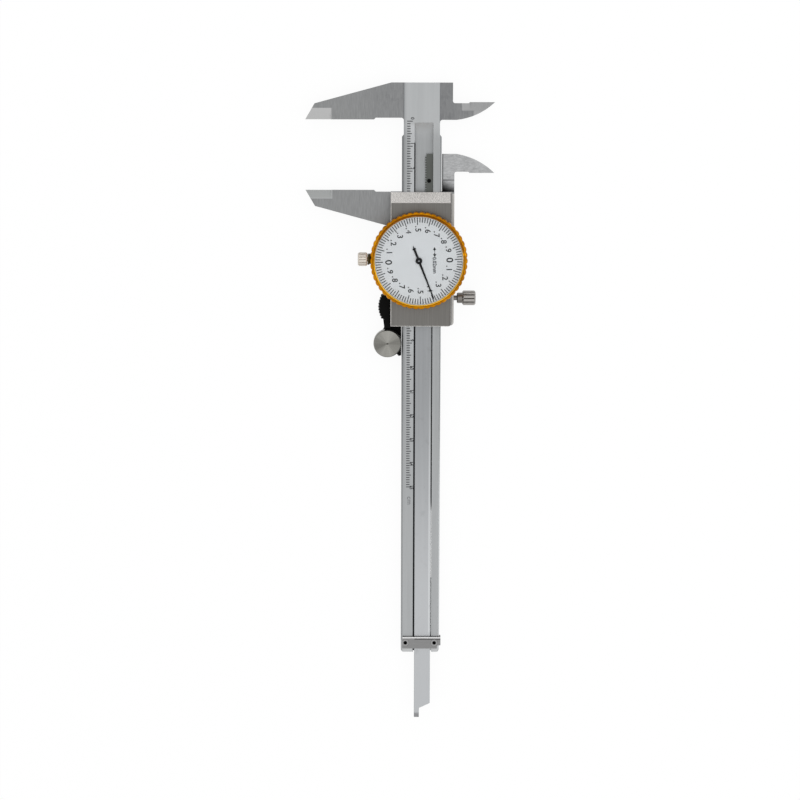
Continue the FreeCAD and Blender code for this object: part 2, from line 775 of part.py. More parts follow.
def gear_block():
    corner = slider_corner
    bend = corner * (1 - math.sqrt(0.5))
    block = slab([(slider_left, slider_bottom), (slider_left, slider_top),
                  (block_right, slider_top), (block_right, slider_bottom + corner),
                  ((block_right - bend, slider_bottom + bend),
                   (block_right - corner, slider_bottom))], slider_front, block_front)
    bevel = prism_x([(slider_top, slider_front + block_bevel_lip),
                     (slider_top - block_bevel_length, block_front),
                     (slider_top - block_bevel_length, block_front + 1),
                     (slider_top + 1, block_front + 1),
                     (slider_top + 1, slider_front + block_bevel_lip)],
                    slider_left - 1, block_right + 1)
    block = block.cut(bevel)
    edge = block_edge_chamfer
    for x, side in ((slider_left, -1), (block_right, 1)):
        block = block.cut(prism_y([(x - side * edge, block_front), (x, block_front - edge),
                                   (x + side, block_front - edge), (x + side, block_front + 1),
                                   (x - side * edge, block_front + 1)],
                                  slider_bottom - 1, slider_top + 1))
    block = block.cut(prism_x([(slider_bottom + edge, block_front),
                               (slider_bottom, block_front - edge),
                               (slider_bottom - 1, block_front - edge),
                               (slider_bottom - 1, block_front + 1),
                               (slider_bottom + edge, block_front + 1)],
                              slider_left - 1, block_right + 1))
    arbor_hole = pinion_radius + rack_addendum + 0.2
    block = block.cut(post(rack_arbor_x, rack_arbor_y, slider_front - 1, block_front + 1,
                           arbor_hole))
    for x, y in block_screw_places():
        block = block.cut(post(x, y, slider_front - 1, block_front + 1, block_screw_radius))
        block = block.cut(post(x, y, block_front - block_head_height, block_front + 1,
                               block_head_radius + seat_play))
    for x, y in case_screw_places():
        block = block.cut(post(x, y, block_front - case_screw_depth + case_floor,
                               block_front + 1, case_screw_radius))
    for y in rod_screw_y:
        block = block.cut(post(rod_middle, y, slider_front - 1,
                               slider_front + rod_screw_depth, rod_screw_radius))
    return block


def block_screws():
    screws = [round_head_screw(x, y, block_front - block_head_height, block_screw_radius,
                               block_head_radius, block_head_height,
                               block_height - block_head_height + block_thread_depth)
              for x, y in block_screw_places()]
    return Part.makeCompound(screws)


def depth_rod():
    fillet = rod_nib_fillet
    nib_right = rod_left + rod_nib_width
    nib_top = rod_end + rod_nib_length
    slope_top = nib_top + rod_nib_slope
    bend = fillet * (1 - math.sqrt(0.5))
    strip = slab([(rod_left, rod_top), (rod_right, rod_top), (rod_right, slope_top),
                  (nib_right + fillet, nib_top),
                  ((nib_right + bend, nib_top - bend), (nib_right, nib_top - fillet)),
                  (nib_right, rod_end), (rod_left, rod_end)], rod_back, rod_front)
    pad = box(rod_left, rod_right, slider_bottom, rod_top, rod_back, slider_front)
    rod = strip.fuse(pad).removeSplitter()
    for y in rod_screw_y:
        rod = rod.cut(flat_head_screw(rod_middle, y, rod_back, rod_screw_radius,
                                      rod_screw_head, rod_thickness + 1, 1))
    return rod


def rod_screws():
    length = slider_front - rod_back + rod_screw_depth
    return Part.makeCompound([flat_head_screw(rod_middle, y, rod_back, rod_screw_radius,
                                              rod_screw_head, length, 1)
                              for y in rod_screw_y])


# The dial case, bezel and glass

def dial_case():
    cup = ring(dial_x, dial_y, block_front, case_top, case_radius - case_wall, case_radius)
    floor = post(dial_x, dial_y, block_front, block_front + case_floor, case_radius)
    tab = box(dial_x - lug_outer, dial_x - case_radius + 1, clamp_y - clamp_lug_width / 2,
              clamp_y + clamp_lug_width / 2, block_front, block_front + case_floor)
    lug = box(dial_x - lug_outer, dial_x - lug_inner, clamp_y - clamp_lug_width / 2,
              clamp_y + clamp_lug_width / 2, block_front, block_front + clamp_lug_height)
    case = cup.fuse([floor, tab, lug])
    case = case.cut(bar_x(dial_x - lug_outer - 1, dial_x - lug_inner + 0.2, clamp_y, clamp_z,
                          clamp_thread_radius))
    groove = ring(dial_x, dial_y, block_front + retainer_lift - seat_play,
                  block_front + retainer_lift + retainer_height + seat_play,
                  case_radius - retainer_bite - seat_play, case_radius + 1)
    case = case.cut(groove)
    arbor_hole = pinion_radius + rack_addendum + 0.2
    case = case.cut(post(rack_arbor_x, rack_arbor_y, block_front - 1, plate_bottom + 1,
                         arbor_hole))
    for x, y in case_screw_places():
        case = case.cut(flat_head_screw(x, y, plate_bottom, case_screw_radius, case_screw_head,
                                        case_floor + 1, -1))
    for angle in pillar_angles:
        x, y = polar(dial_x, dial_y, pillar_circle, angle)
        case = case.cut(post(x, y, block_front - 1, plate_bottom + 1, bridge_screw_radius))
    return case.removeSplitter()


def case_screws():
    return Part.makeCompound([flat_head_screw(x, y, plate_bottom, case_screw_radius,
                                              case_screw_head, case_screw_depth, -1)
                              for x, y in case_screw_places()])


def retaining_ring():
    z0 = block_front + retainer_lift
    inner = case_radius - retainer_bite
    wire = ring(dial_x, dial_y, z0, z0 + retainer_height, inner, inner + retainer_width)
    half_gap = (inner + retainer_width) * math.sin(math.radians(retainer_gap_angle / 2))
    return wire.cut(box(dial_x, dial_x + 2 * inner, dial_y - half_gap, dial_y + half_gap,
                        z0 - 1, z0 + retainer_height + 1))


def scallop_outline():
    """The bezel's grip: rounded bumps with narrow valleys between them."""
    step = 360.0 / bezel_bumps
    points = []
    for i in range(bezel_bumps):
        for share, radius in ((-0.36, bezel_valley_radius), (-0.15, bezel_tip_radius),
                              (0.15, bezel_tip_radius), (0.36, bezel_valley_radius)):
            points.append(polar(dial_x, dial_y, radius, step * (i + share)))
    return points


def bezel():
    flange_top = bezel_bottom + bezel_flange_height
    grip = slab(scallop_outline(), bezel_bottom, flange_top)
    ring_part = revolve_z([(dial_ledge_inner, flange_top - 0.2),
                           (bezel_ring_radius, flange_top - 0.2),
                           (bezel_ring_radius, bezel_top - bezel_bevel),
                           (bezel_ring_radius - bezel_bevel / 2, bezel_top),
                           (bezel_opening, bezel_top), (dial_ledge_inner, bezel_top)],
                          dial_x, dial_y)
    solid = grip.fuse(ring_part)
    hollow = revolve_z([(0, bezel_bottom - 1), (bezel_inner, bezel_bottom - 1),
                        (bezel_inner, case_top + bezel_clearance),
                        (dial_ledge_inner, case_top + bezel_clearance),
                        (dial_ledge_inner, dial_bottom),
                        (dial_radius + seat_play, dial_bottom),
                        (dial_radius + seat_play, crystal_top),
                        (bezel_opening, crystal_top), (bezel_opening, bezel_top + 1),
                        (0, bezel_top + 1)], dial_x, dial_y)
    z0 = block_front + retainer_lift
    outer = case_radius - retainer_bite + retainer_width
    groove = ring(dial_x, dial_y, z0 - seat_play, z0 + retainer_height + seat_play,
                  bezel_inner - 0.2, outer + seat_play)
    return solid.cut(hollow).cut(groove).removeSplitter()


def dial_face():
    return ring(dial_x, dial_y, dial_bottom, dial_top, dial_hole, dial_radius)


def spacer_ring():
    """Keeps the crystal off the dial; its inside slopes back like a reflector."""
    inner = dial_radius - spacer_wall
    return revolve_z([(inner, dial_top), (dial_radius, dial_top),
                      (dial_radius, crystal_bottom), (inner + 0.2, crystal_bottom)],
                     dial_x, dial_y)


def crystal():
    """A flat glass with its middle raised a little above the bezel's rim."""
    step = bezel_opening - seat_play
    return revolve_z([(0, crystal_bottom), (dial_radius, crystal_bottom),
                      (dial_radius, crystal_top), (step, crystal_top),
                      (step - crystal_edge, crystal_top + crystal_crown),
                      (0, crystal_top + crystal_crown)], dial_x, dial_y)


def bezel_clamp_screw():
    head_end = dial_x - lug_outer - 0.12
    tip = dial_x - bezel_tip_radius - 0.1
    thread = bar_x(head_end - 1, tip, clamp_y, clamp_z, clamp_thread_radius - pivot_play)
    head = fluted_knob(head_end - clamp_head_length, clamp_head_length, clamp_y, clamp_z,
                       clamp_head_radius, clamp_flutes)
    return thread.fuse(head).removeSplitter()


# The movement

def movement_plate():
    plate = post(dial_x, dial_y, plate_bottom, plate_top, plate_radius)
    for x, y in arbor_places():
        plate = plate.cut(post(x, y, plate_bottom - 1, plate_top + 1, bush_radius))
    for angle in pillar_angles:
        x, y = polar(dial_x, dial_y, pillar_circle, angle)
        plate = plate.cut(post(x, y, plate_bottom - 1, plate_top + 1, bridge_screw_radius))
    return plate


def arbor_places():
    return [(rack_arbor_x, rack_arbor_y), (dial_x, dial_y), (return_x, return_y)]


def bridge_plate():
    plate = post(dial_x, dial_y, bridge_bottom, bridge_top, plate_radius)
    for x, y in arbor_places():
        plate = plate.cut(post(x, y, bridge_bottom - 1, bridge_top + 1, bush_radius))
    for angle in pillar_angles:
        x, y = polar(dial_x, dial_y, pillar_circle, angle)
        plate = plate.cut(post(x, y, bridge_bottom - 1, bridge_top + 1, bridge_screw_radius))
    for angle in (0.0, 185.0):
        x, y = polar(dial_x, dial_y, plate_radius / 2, angle)
        plate = plate.cut(post(x, y, bridge_bottom - 1, bridge_top + 1, bridge_window_radius))
    return plate


def arbor_bushes():
    bushes = []
    for x, y in arbor_places():
        for z0, z1 in ((plate_bottom, plate_top), (bridge_bottom, bridge_top)):
            bushes.append(ring(x, y, z0, z1, arbor_radius + pivot_play, bush_radius))
    return Part.makeCompound(bushes)


def pillars():
    return Part.makeCompound([ring(*polar(dial_x, dial_y, pillar_circle, a), plate_top,
                                   bridge_bottom, bridge_screw_radius, pillar_radius)
                              for a in pillar_angles])


def bridge_screws():
    length = bridge_top - block_front
    return Part.makeCompound([round_head_screw(*polar(dial_x, dial_y, pillar_circle, a),
                                               bridge_top, bridge_screw_radius,
                                               bridge_head_radius, bridge_head_height, length)
                              for a in pillar_angles])


def toothed_wheel(x, y):
    """A large wheel on its arbor, with a tooth on the line to the dial's centre."""
    towards = math.degrees(math.atan2(dial_y - y, dial_x - x))
    return gear_blank(wheel_teeth, wheel_module, wheel_module, 1.25 * wheel_module, 2,
                      towards, x, y, wheel_bottom, wheel_top)


def rack_arbor():
    bottom = channel_floor + pinion_floor_gap
    teeth_top = rack_face + 0.4
    pinion = gear_blank(pinion_teeth, rack_module, rack_addendum, rack_dedendum, 3, 0.0,
                        rack_arbor_x, rack_arbor_y, bottom, teeth_top)
    shaft = post(rack_arbor_x, rack_arbor_y, bottom, bridge_top, arbor_radius)
    return pinion.fuse(shaft).removeSplitter()


def rack_wheel():
    wheel = toothed_wheel(rack_arbor_x, rack_arbor_y)
    return wheel.cut(post(rack_arbor_x, rack_arbor_y, wheel_bottom - 1, wheel_top + 1,
                          arbor_radius))


def return_wheel():
    wheel = toothed_wheel(return_x, return_y)
    return wheel.cut(post(return_x, return_y, wheel_bottom - 1, wheel_top + 1, arbor_radius))


def return_arbor():
    collet_bottom = wheel_top
    collet_top = wheel_top + hairspring_lift + hairspring_height
    shaft = post(return_x, return_y, plate_bottom, bridge_top, arbor_radius)
    collet = post(return_x, return_y, collet_bottom, collet_top, hairspring_start - 0.15)
    return shaft.fuse(collet).removeSplitter()


def hairspring():
    """A flat coil made of half turns, each wider than the last by half the coil's pitch."""
    step = hairspring_pitch / 2

    def arc_points(extra):
        inner = []
        for k in range(hairspring_half_turns):
            radius = hairspring_start + k * step + extra
            centre = return_x + (step if k % 2 else 0)
            side = 1 if k % 2 == 0 else -1
            inner.append(((centre, return_y + side * radius),
                          (centre - side * radius, return_y)))
        return (return_x + hairspring_start + extra, return_y), inner

    start, inside = arc_points(0)
    outer_start, outside = arc_points(hairspring_ribbon)
    last = outside[-1][1]
    back = []
    stops = [outer_start] + [end for _, end in outside]
    for k in range(hairspring_half_turns - 1, -1, -1):
        back.append((outside[k][0], stops[k]))
    z0 = wheel_top + hairspring_lift
    return slab([start] + inside + [last] + back, z0, z0 + hairspring_height)


def hairspring_stud():
    step = hairspring_pitch / 2
    reach = hairspring_start + (hairspring_half_turns - 1) * step + hairspring_ribbon
    side = 1 if hairspring_half_turns % 2 == 0 else -1
    centre = return_x + (step if hairspring_half_turns % 2 == 0 else 0)
    x = centre + side * (reach + seat_play + stud_radius)
    return post(x, return_y, wheel_top + hairspring_lift, bridge_bottom, stud_radius)


def centre_arbor():
    towards = math.degrees(math.atan2(rack_arbor_y - dial_y, rack_arbor_x - dial_x))
    gap_at = towards + 180.0 / centre_teeth
    pinion = gear_blank(centre_teeth, wheel_module, wheel_module, 1.25 * wheel_module, 3,
                        gap_at, dial_x, dial_y, wheel_bottom - 0.1, wheel_top + 0.1)
    shaft = post(dial_x, dial_y, plate_bottom, dial_top + pointer_lift, arbor_radius)
    return pinion.fuse(shaft).removeSplitter()


def return_phase():
    """Turn that puts a tooth of the return wheel into a gap of the centre pinion."""
    rack_side = math.degrees(math.atan2(rack_arbor_y - dial_y, rack_arbor_x - dial_x))
    gap_pitch = 360.0 / centre_teeth
    off = (return_angle - rack_side) % gap_pitch
    return -off * centre_teeth / wheel_teeth


def pointer():
    blade_bottom = dial_top + pointer_lift
    turn = dial_turn - 360.0 * (jaw_opening % dial_travel_per_turn) / dial_travel_per_turn
    tail_root = -pointer_tail + pointer_spade_length
    half = pointer_root_width / 2
    blade = slab([(0, half), (0, -half), (pointer_length, -pointer_tip_width / 2),
                  (pointer_length, pointer_tip_width / 2)],
                 blade_bottom, blade_bottom + pointer_thickness)
    neck = tail_root + pointer_spade_neck
    tail = slab([(0, pointer_tail_width / 2), (neck, pointer_tail_width / 2),
                 (tail_root, pointer_spade_width / 2), (-pointer_tail, 0),
                 (tail_root, -pointer_spade_width / 2), (neck, -pointer_tail_width / 2),
                 (0, -pointer_tail_width / 2)],
                blade_bottom, blade_bottom + pointer_thickness)
    hub = post(0, 0, blade_bottom, blade_bottom + pointer_hub_height, pointer_hub_radius)
    hand = blade.fuse([tail, hub]).removeSplitter()
    hand.rotate(FreeCAD.Vector(0, 0, 0), FreeCAD.Vector(0, 0, 1), turn)
    hand.translate(FreeCAD.Vector(dial_x, dial_y, 0))
    return hand


# The thumb rest and its roller

def thumb_rest():
    """The serrated rest on the slider's side, running down into the roller's floor."""
    centre_x = slider_left - rest_bulge + rest_arc_radius
    tooth_points = []
    first = (rest_teeth - 1) / 2 * rest_tooth_angle
    for i in range(rest_teeth):
        angle = 180 - first + i * rest_tooth_angle
        tooth_points.append(polar(centre_x, rest_centre_y, rest_arc_radius, angle))
        tooth_points.append(polar(centre_x, rest_centre_y, rest_arc_radius - rest_tooth_depth,
                                  angle + rest_tooth_angle / 2))
    waist = (roller_x - 1.3, slider_bottom - 1.2)
    body = slab([(slider_left, waist[1]), (slider_left, tooth_points[0][1] + 0.3),
                 (tooth_points[0][0] + 0.5, tooth_points[0][1] + 0.3)] + tooth_points
                + [(waist[0], waist[1])], rest_bottom, rest_top)
    floor = post(roller_x, roller_y, rest_bottom, rest_floor_top, rest_plate_radius)
    floor = floor.fuse(slab([(slider_left, slider_bottom - seat_play),
                             (waist[0], waist[1]), (roller_x - rest_plate_radius + 0.6, roller_y),
                             (roller_x, roller_y - rest_plate_radius),
                             (rest_right - rest_nub_width - 0.9, roller_y - rest_plate_radius + 1.4),
                             (rest_right - rest_nub_width, roller_y - rest_plate_radius),
                             (rest_right - rest_nub_width + 0.4, roller_y - rest_plate_radius - 0.4),
                             (rest_right - 0.4, roller_y - rest_plate_radius - 0.4),
                             (rest_right, roller_y - rest_plate_radius),
                             (rest_right, slider_bottom - seat_play)],
                            rest_bottom, rest_floor_top))
    well = post(roller_x, roller_y, rest_floor_top, rest_top + 1, roller_radius + 0.25)
    rest = body.cut(well).fuse(floor)
    rest = rest.cut(post(roller_x, roller_y, rest_bottom - 1, rest_floor_top + 1,
                         roller_shaft_radius + pivot_play))
    for y in rest_screw_places():
        rest = rest.cut(bar_x(slider_left - 2, slider_left + 1, y, beam_middle,
                              rest_screw_radius))
        rest = rest.cut(bar_x(slider_left - 2 * rest_bulge, slider_left - 2, y, beam_middle,
                              rest_screw_head))
    return rest.removeSplitter()


def rest_screws():
    screws = []
    for y in rest_screw_places():
        head = bar_x(slider_left - 2 - 1.1, slider_left - 2, y, beam_middle,
                     rest_screw_head - seat_play)
        slot = box(slider_left - 2 - 1.2, slider_left - 2 - 0.6, y - 2, y + 2,
                   beam_middle - 0.2, beam_middle + 0.2)
        shank = bar_x(slider_left - 2, slider_left + rest_screw_bite, y, beam_middle,
                      rest_screw_radius)
        screws.append(head.cut(slot).fuse(shank).removeSplitter())
    return Part.makeCompound(screws)


def thumb_roller():
    top = roller_bottom + roller_height
    chamfer = roller_rim_chamfer
    knob = revolve_z([(0, roller_bottom), (roller_radius - chamfer / 2, roller_bottom),
                      (roller_radius, roller_bottom + chamfer / 2),
                      (roller_radius, top - chamfer), (roller_radius - chamfer, top),
                      (0, top)], roller_x, roller_y)
    shaft_end = rest_bottom - clip_thickness - 0.15
    return knob.fuse(post(roller_x, roller_y, shaft_end, roller_bottom,
                          roller_shaft_radius)).removeSplitter()


def roller_washer():
    return ring(roller_x, roller_y, rest_floor_top, roller_bottom - pivot_play,
                roller_shaft_radius + pivot_play, roller_washer_radius)


def roller_clip():
    return ring(roller_x, roller_y, rest_bottom - clip_thickness - 0.02, rest_bottom - 0.02,
                roller_shaft_radius, clip_radius)


def build():
    os.makedirs("parts", exist_ok=True)
    pieces = [
        ("beam", beam), ("rack", rack), ("rack_screws", rack_screws),
        ("stop_plate", stop_plate), ("stop_screws", stop_screws),
        ("slider_frame", slider_frame), ("gib", gib), ("gib_screws", gib_screws),
        ("lock_screw", lock_screw), ("gear_block", gear_block),
        ("block_screws", block_screws), ("depth_rod", depth_rod), ("rod_screws", rod_screws),
        ("dial_case", dial_case), ("case_screws", case_screws),
        ("retaining_ring", retaining_ring), ("bezel", bezel), ("dial_face", dial_face),
        ("spacer_ring", spacer_ring), ("crystal", crystal),
        ("bezel_clamp_screw", bezel_clamp_screw), ("movement_plate", movement_plate),
        ("bridge_plate", bridge_plate), ("arbor_bushes", arbor_bushes), ("pillars", pillars),
        ("bridge_screws", bridge_screws), ("rack_arbor", rack_arbor),
        ("rack_wheel", rack_wheel), ("return_arbor", return_arbor),
        ("centre_arbor", centre_arbor), ("hairspring", hairspring),
        ("hairspring_stud", hairspring_stud), ("pointer", pointer),
        ("thumb_rest", thumb_rest), ("rest_screws", rest_screws),
        ("thumb_roller", thumb_roller), ("roller_washer", roller_washer),
        ("roller_clip", roller_clip),
    ]
    for name, make in pieces:
        save(name, make())
    wheel = return_wheel()
    wheel.rotate(FreeCAD.Vector(return_x, return_y, 0), FreeCAD.Vector(0, 0, 1), return_phase())
    save("return_wheel", wheel)


build()
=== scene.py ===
import json
import math
from types import SimpleNamespace

import bmesh
import bpy
from mathutils import Matrix, Vector


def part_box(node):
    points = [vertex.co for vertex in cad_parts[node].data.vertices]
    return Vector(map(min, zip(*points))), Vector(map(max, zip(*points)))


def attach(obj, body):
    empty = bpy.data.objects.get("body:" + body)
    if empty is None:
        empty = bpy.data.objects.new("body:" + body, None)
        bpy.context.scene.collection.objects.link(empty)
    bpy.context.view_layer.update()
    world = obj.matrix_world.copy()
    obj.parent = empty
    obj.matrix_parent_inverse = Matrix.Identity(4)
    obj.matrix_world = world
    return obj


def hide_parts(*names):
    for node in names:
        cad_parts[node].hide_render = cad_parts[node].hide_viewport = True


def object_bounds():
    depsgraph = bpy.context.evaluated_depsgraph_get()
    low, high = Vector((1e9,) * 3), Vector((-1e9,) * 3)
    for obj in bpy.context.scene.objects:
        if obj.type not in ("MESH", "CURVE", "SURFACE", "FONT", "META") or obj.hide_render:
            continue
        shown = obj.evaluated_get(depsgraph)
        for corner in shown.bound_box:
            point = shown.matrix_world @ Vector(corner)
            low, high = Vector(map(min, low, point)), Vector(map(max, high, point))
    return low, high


mm = 0.001

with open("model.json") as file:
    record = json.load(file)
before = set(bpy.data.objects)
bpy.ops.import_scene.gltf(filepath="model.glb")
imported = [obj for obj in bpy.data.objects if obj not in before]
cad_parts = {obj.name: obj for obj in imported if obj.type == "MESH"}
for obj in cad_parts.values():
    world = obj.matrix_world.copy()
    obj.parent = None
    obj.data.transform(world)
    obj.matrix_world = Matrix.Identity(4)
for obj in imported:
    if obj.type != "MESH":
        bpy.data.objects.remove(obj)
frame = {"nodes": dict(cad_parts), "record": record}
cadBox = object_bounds()
bodyOf = {node: body for body, members in frame["record"]["behaviour"]["bodies"].items()
          for node in members}
print("stage: frame loaded,", len(bodyOf), "nodes")


# short ways to build a material

def tone(red, green, blue):
    # a colour as it looks on screen, 0 to 255, in the renderer's own numbers
    parts = [c / 255 for c in (red, green, blue)]
    return tuple(c / 12.92 if c < 0.04045 else ((c + 0.055) / 1.055) ** 2.4 for c in parts) + (1,)


class Wire:
    # one output socket; sums on it add Math nodes
    def __init__(self, tree, socket):
        self.tree = tree
        self.socket = socket

    def maths(self, operation, *items):
        node = self.tree.nodes.new("ShaderNodeMath")
        node.operation = operation
        for socket, item in zip(node.inputs, items):
            if isinstance(item, Wire):
                self.tree.links.new(item.socket, socket)
            else:
                socket.default_value = item
        return Wire(self.tree, node.outputs[0])

    def __add__(self, other):
        return self.maths("ADD", self, other)

    def __radd__(self, other):
        return self.maths("ADD", other, self)

    def __sub__(self, other):
        return self.maths("SUBTRACT", self, other)

    def __rsub__(self, other):
        return self.maths("SUBTRACT", other, self)

    def __mul__(self, other):
        return self.maths("MULTIPLY", self, other)

    def __rmul__(self, other):
        return self.maths("MULTIPLY", other, self)

    def __truediv__(self, other):
        return self.maths("DIVIDE", self, other)

    def __pow__(self, other):
        return self.maths("POWER", self, other)

    def above(self, edge, soft):
        # 0 below edge, 1 above edge + soft
        node = self.tree.nodes.new("ShaderNodeMapRange")
        node.interpolation_type = "SMOOTHSTEP"
        self.tree.links.new(self.socket, node.inputs["Value"])
        node.inputs["From Min"].default_value = edge
        node.inputs["From Max"].default_value = edge + soft
        return Wire(self.tree, node.outputs[0])

    def below(self, edge, soft):
        return 1 - self.above(edge, soft)

    def within(self, low, high, soft):
        return self.above(low, soft) * self.below(high, soft)

    def most(self, other):
        return self.maths("MAXIMUM", self, other)


class Nodes:
    # short ways to add nodes to a tree
    def __init__(self, tree):
        self.tree = tree

    def add(self, kind, settings=None, sockets=None, out=0):
        node = self.tree.nodes.new("ShaderNode" + kind)
        for key, value in (settings or {}).items():
            setattr(node, key, value)
        for key, value in (sockets or {}).items():
            if isinstance(value, Wire):
                self.tree.links.new(value.socket, node.inputs[key])
            else:
                node.inputs[key].default_value = value
        return Wire(self.tree, node.outputs[out])

    def split(self, vector):
        node = self.tree.nodes.new("ShaderNodeSeparateXYZ")
        self.tree.links.new(vector.socket, node.inputs[0])
        return [Wire(self.tree, out) for out in node.outputs]

    def mix(self, first, second, factor):
        return self.add("Mix", {"data_type": "RGBA"},
                        {0: factor, 6: first, 7: second}, out=2)

    def output(self, factor, first, second):
        # shows a mix of two shaders
        both = self.add("MixShader", None, {0: factor, 1: first, 2: second})
        end = next(n for n in self.tree.nodes if n.type.startswith("OUTPUT"))
        self.tree.links.new(both.socket, end.inputs["Surface"])


class Finish(Nodes):
    # a material with its Principled shader and short ways to add nodes
    def __init__(self, name, metallic=0.0, roughness=0.5, **fixed):
        self.material = bpy.data.materials.new(name)
        self.material.use_nodes = True
        super().__init__(self.material.node_tree)
        self.shader = self.tree.nodes["Principled BSDF"]
        self.shader.inputs["Metallic"].default_value = metallic
        self.shader.inputs["Roughness"].default_value = roughness
        for socket, value in fixed.items():
            self.shader.inputs[socket.replace("_", " ")].default_value = value
        self.place = self.add("TexCoord", out="Object")

    def noise(self, scale, detail=2.0, rough=0.55):
        spread = self.add("Mapping", None, {"Vector": self.place, "Scale": scale})
        return self.noiseOn(spread, 1.0, detail, rough)

    def noiseOn(self, vector, scale, detail=2.0, rough=0.55):
        return self.add("TexNoise", None,
                        {"Vector": vector, "Scale": scale, "Detail": detail, "Roughness": rough})

    def axes(self):
        return self.split(self.place)

    def facing(self):
        # how far the surface faces up, out of the dial
        return self.split(self.add("NewGeometry", out="Normal"))[2]

    def tint(self, colour, coat, mask):
        # lays a coat, a screen tone with its strength, over a colour where the mask is 1
        wanted, strength = coat
        return self.mix(colour, tone(*wanted), mask * strength)

    def edges(self, width):
        # 1 along edges, 0 on flats
        soft = self.add("Bevel", {"samples": 4}, {"Radius": width})
        hard = self.add("NewGeometry", out="Normal")
        agree = self.add("VectorMath", {"operation": "DOT_PRODUCT"},
                         {0: soft, 1: hard}, out="Value")
        return agree.below(0.8, 0.19)

    def done(self, colour, rough=None, height=None, distance=0.0, strength=0.5):
        # puts colour, roughness and a bump of so many mm on the shader
        bump = height and self.add("Bump", None, {
            "Height": height, "Distance": distance * mm, "Strength": strength})
        for name, wire in (("Base Color", colour), ("Roughness", rough), ("Normal", bump)):
            if wire:
                self.tree.links.new(wire.socket, self.shader.inputs[name])
        return self.material

    def whole(self):
        return Wire(self.tree, self.shader.outputs[0])


def named(values):
    # lets a table's values be read as table.value
    return SimpleNamespace(**values)


def inMetres(marks):
    # a pair is a place and the width of the blend there
    return named({name: tuple(v * mm for v in value) if isinstance(value, tuple) else value * mm
                  for name, value in marks.items()})


def reachOf(across, along):
    # distance from an axis, from the distances along two other ones
    return (across * across + along * along) ** 0.5


# ground steel: the beam, the jaws and the block on the slider

grinding = {
    # dark and light tones, streaks per metre along each axis, roughness
    "beam": dict(dark=(138, 140, 141), light=(163, 165, 166), grain=(9000, 260, 9000),
                 broad=(700, 22, 700), low=0.38, high=0.5),
    "jaw": dict(dark=(106, 107, 108), light=(149, 150, 150), grain=(7000, 180, 7000),
                broad=(2600, 260, 2600), low=0.38, high=0.5),
    "block": dict(dark=(88, 87, 84), light=(119, 117, 114), grain=(8000, 160, 8000),
                  broad=(1500, 30, 1500), low=0.36, high=0.48),
    "rod": dict(dark=(128, 130, 132), light=(149, 151, 153), grain=(7000, 120, 7000),
                broad=(900, 20, 900), low=0.38, high=0.5),
}


def groundColour(finish, name):
    values = named(grinding[name])
    fine = finish.noise(values.grain, 3.0)
    broad = finish.noise(values.broad, 2.0)
    streak = fine * 0.55 + broad * 0.65 - 0.1
    colour = finish.mix(tone(*values.dark), tone(*values.light), streak)
    roughness = values.low + (values.high - values.low) * fine
    return colour, roughness, fine


beamMarks = {
    # places in mm
    "frontHalf": 7.35, "jawLine": -1.3, "bevelFrom": 7.3, "leftEnd": -8.0,
    "paleFrom": -100.0, "paleRun": 70.0, "headFrom": (-8.0, 6.0),
    "upperFrom": (-160.0, 100.0), "dullFrom": (-110.0, 40.0),
    "brightFrom": (-160.0, 50.0), "channelLeft": -2.95, "channelRight": 4.6,
    "slopeFrom": -14.0, "slopeFace": 3.7, "polishLeft": -5.2, "polishTop": -3.0,
    "plateLine": -216.5, "grooveLeft": -2.35, "grooveStep": 0.25, "grooveFrom": -60.0,
    "dirtTop": -10.0, "gapLeft": 4.15, "gapRight": 4.72, "gapFace": 3.78, "gapTop": -82.0,
    "gapEnd": (-160.0, 6.0), "cleanFrom": (-165.0, 30.0),
    "tipLeft": -36.5, "tipHeight": 4.45, "tipRight": 16.0, "tipRightBase": 3.5,
    "tipRightEnd": 20.6, "lineWidth": 0.3, "shadeLeft": (-32.0, 22.0),
    "shadeRight": 13.0, "mottleLeft": (-26.0, 14.0),
}
beamCoats = {
    # tone on screen, and how strongly it covers
    "clean": ((196, 198, 199), 1.0), "leftSide": ((92, 94, 96), 0.62),
    "wornEdge": ((222, 224, 225), 0.3), "dullEdge": ((104, 106, 108), 0.25),
    "brightEdge": ((226, 228, 229), 0.5), "slope": ((236, 238, 238), 0.75),
    "polish": ((206, 208, 210), 0.28), "underPlate": ((240, 240, 240), 0.2),
    "dirt": ((22, 24, 26), 0.95), "gap": ((16, 17, 18), 1.0), "cleanGap": ((236, 238, 238), 0.7),
    "jawEdge": ((104, 104, 105), 0.5), "jawShade": ((78, 79, 83), 1.0),
    "land": ((180, 180, 180), 0.75), "line": ((84, 86, 89), 0.6), "smudge": ((128, 128, 130),
    0.14),
}
beamShares = {"far": 0.1, "head": 0.22, "rightLand": 0.55, "shade": 0.12, "mottle": 0.14}


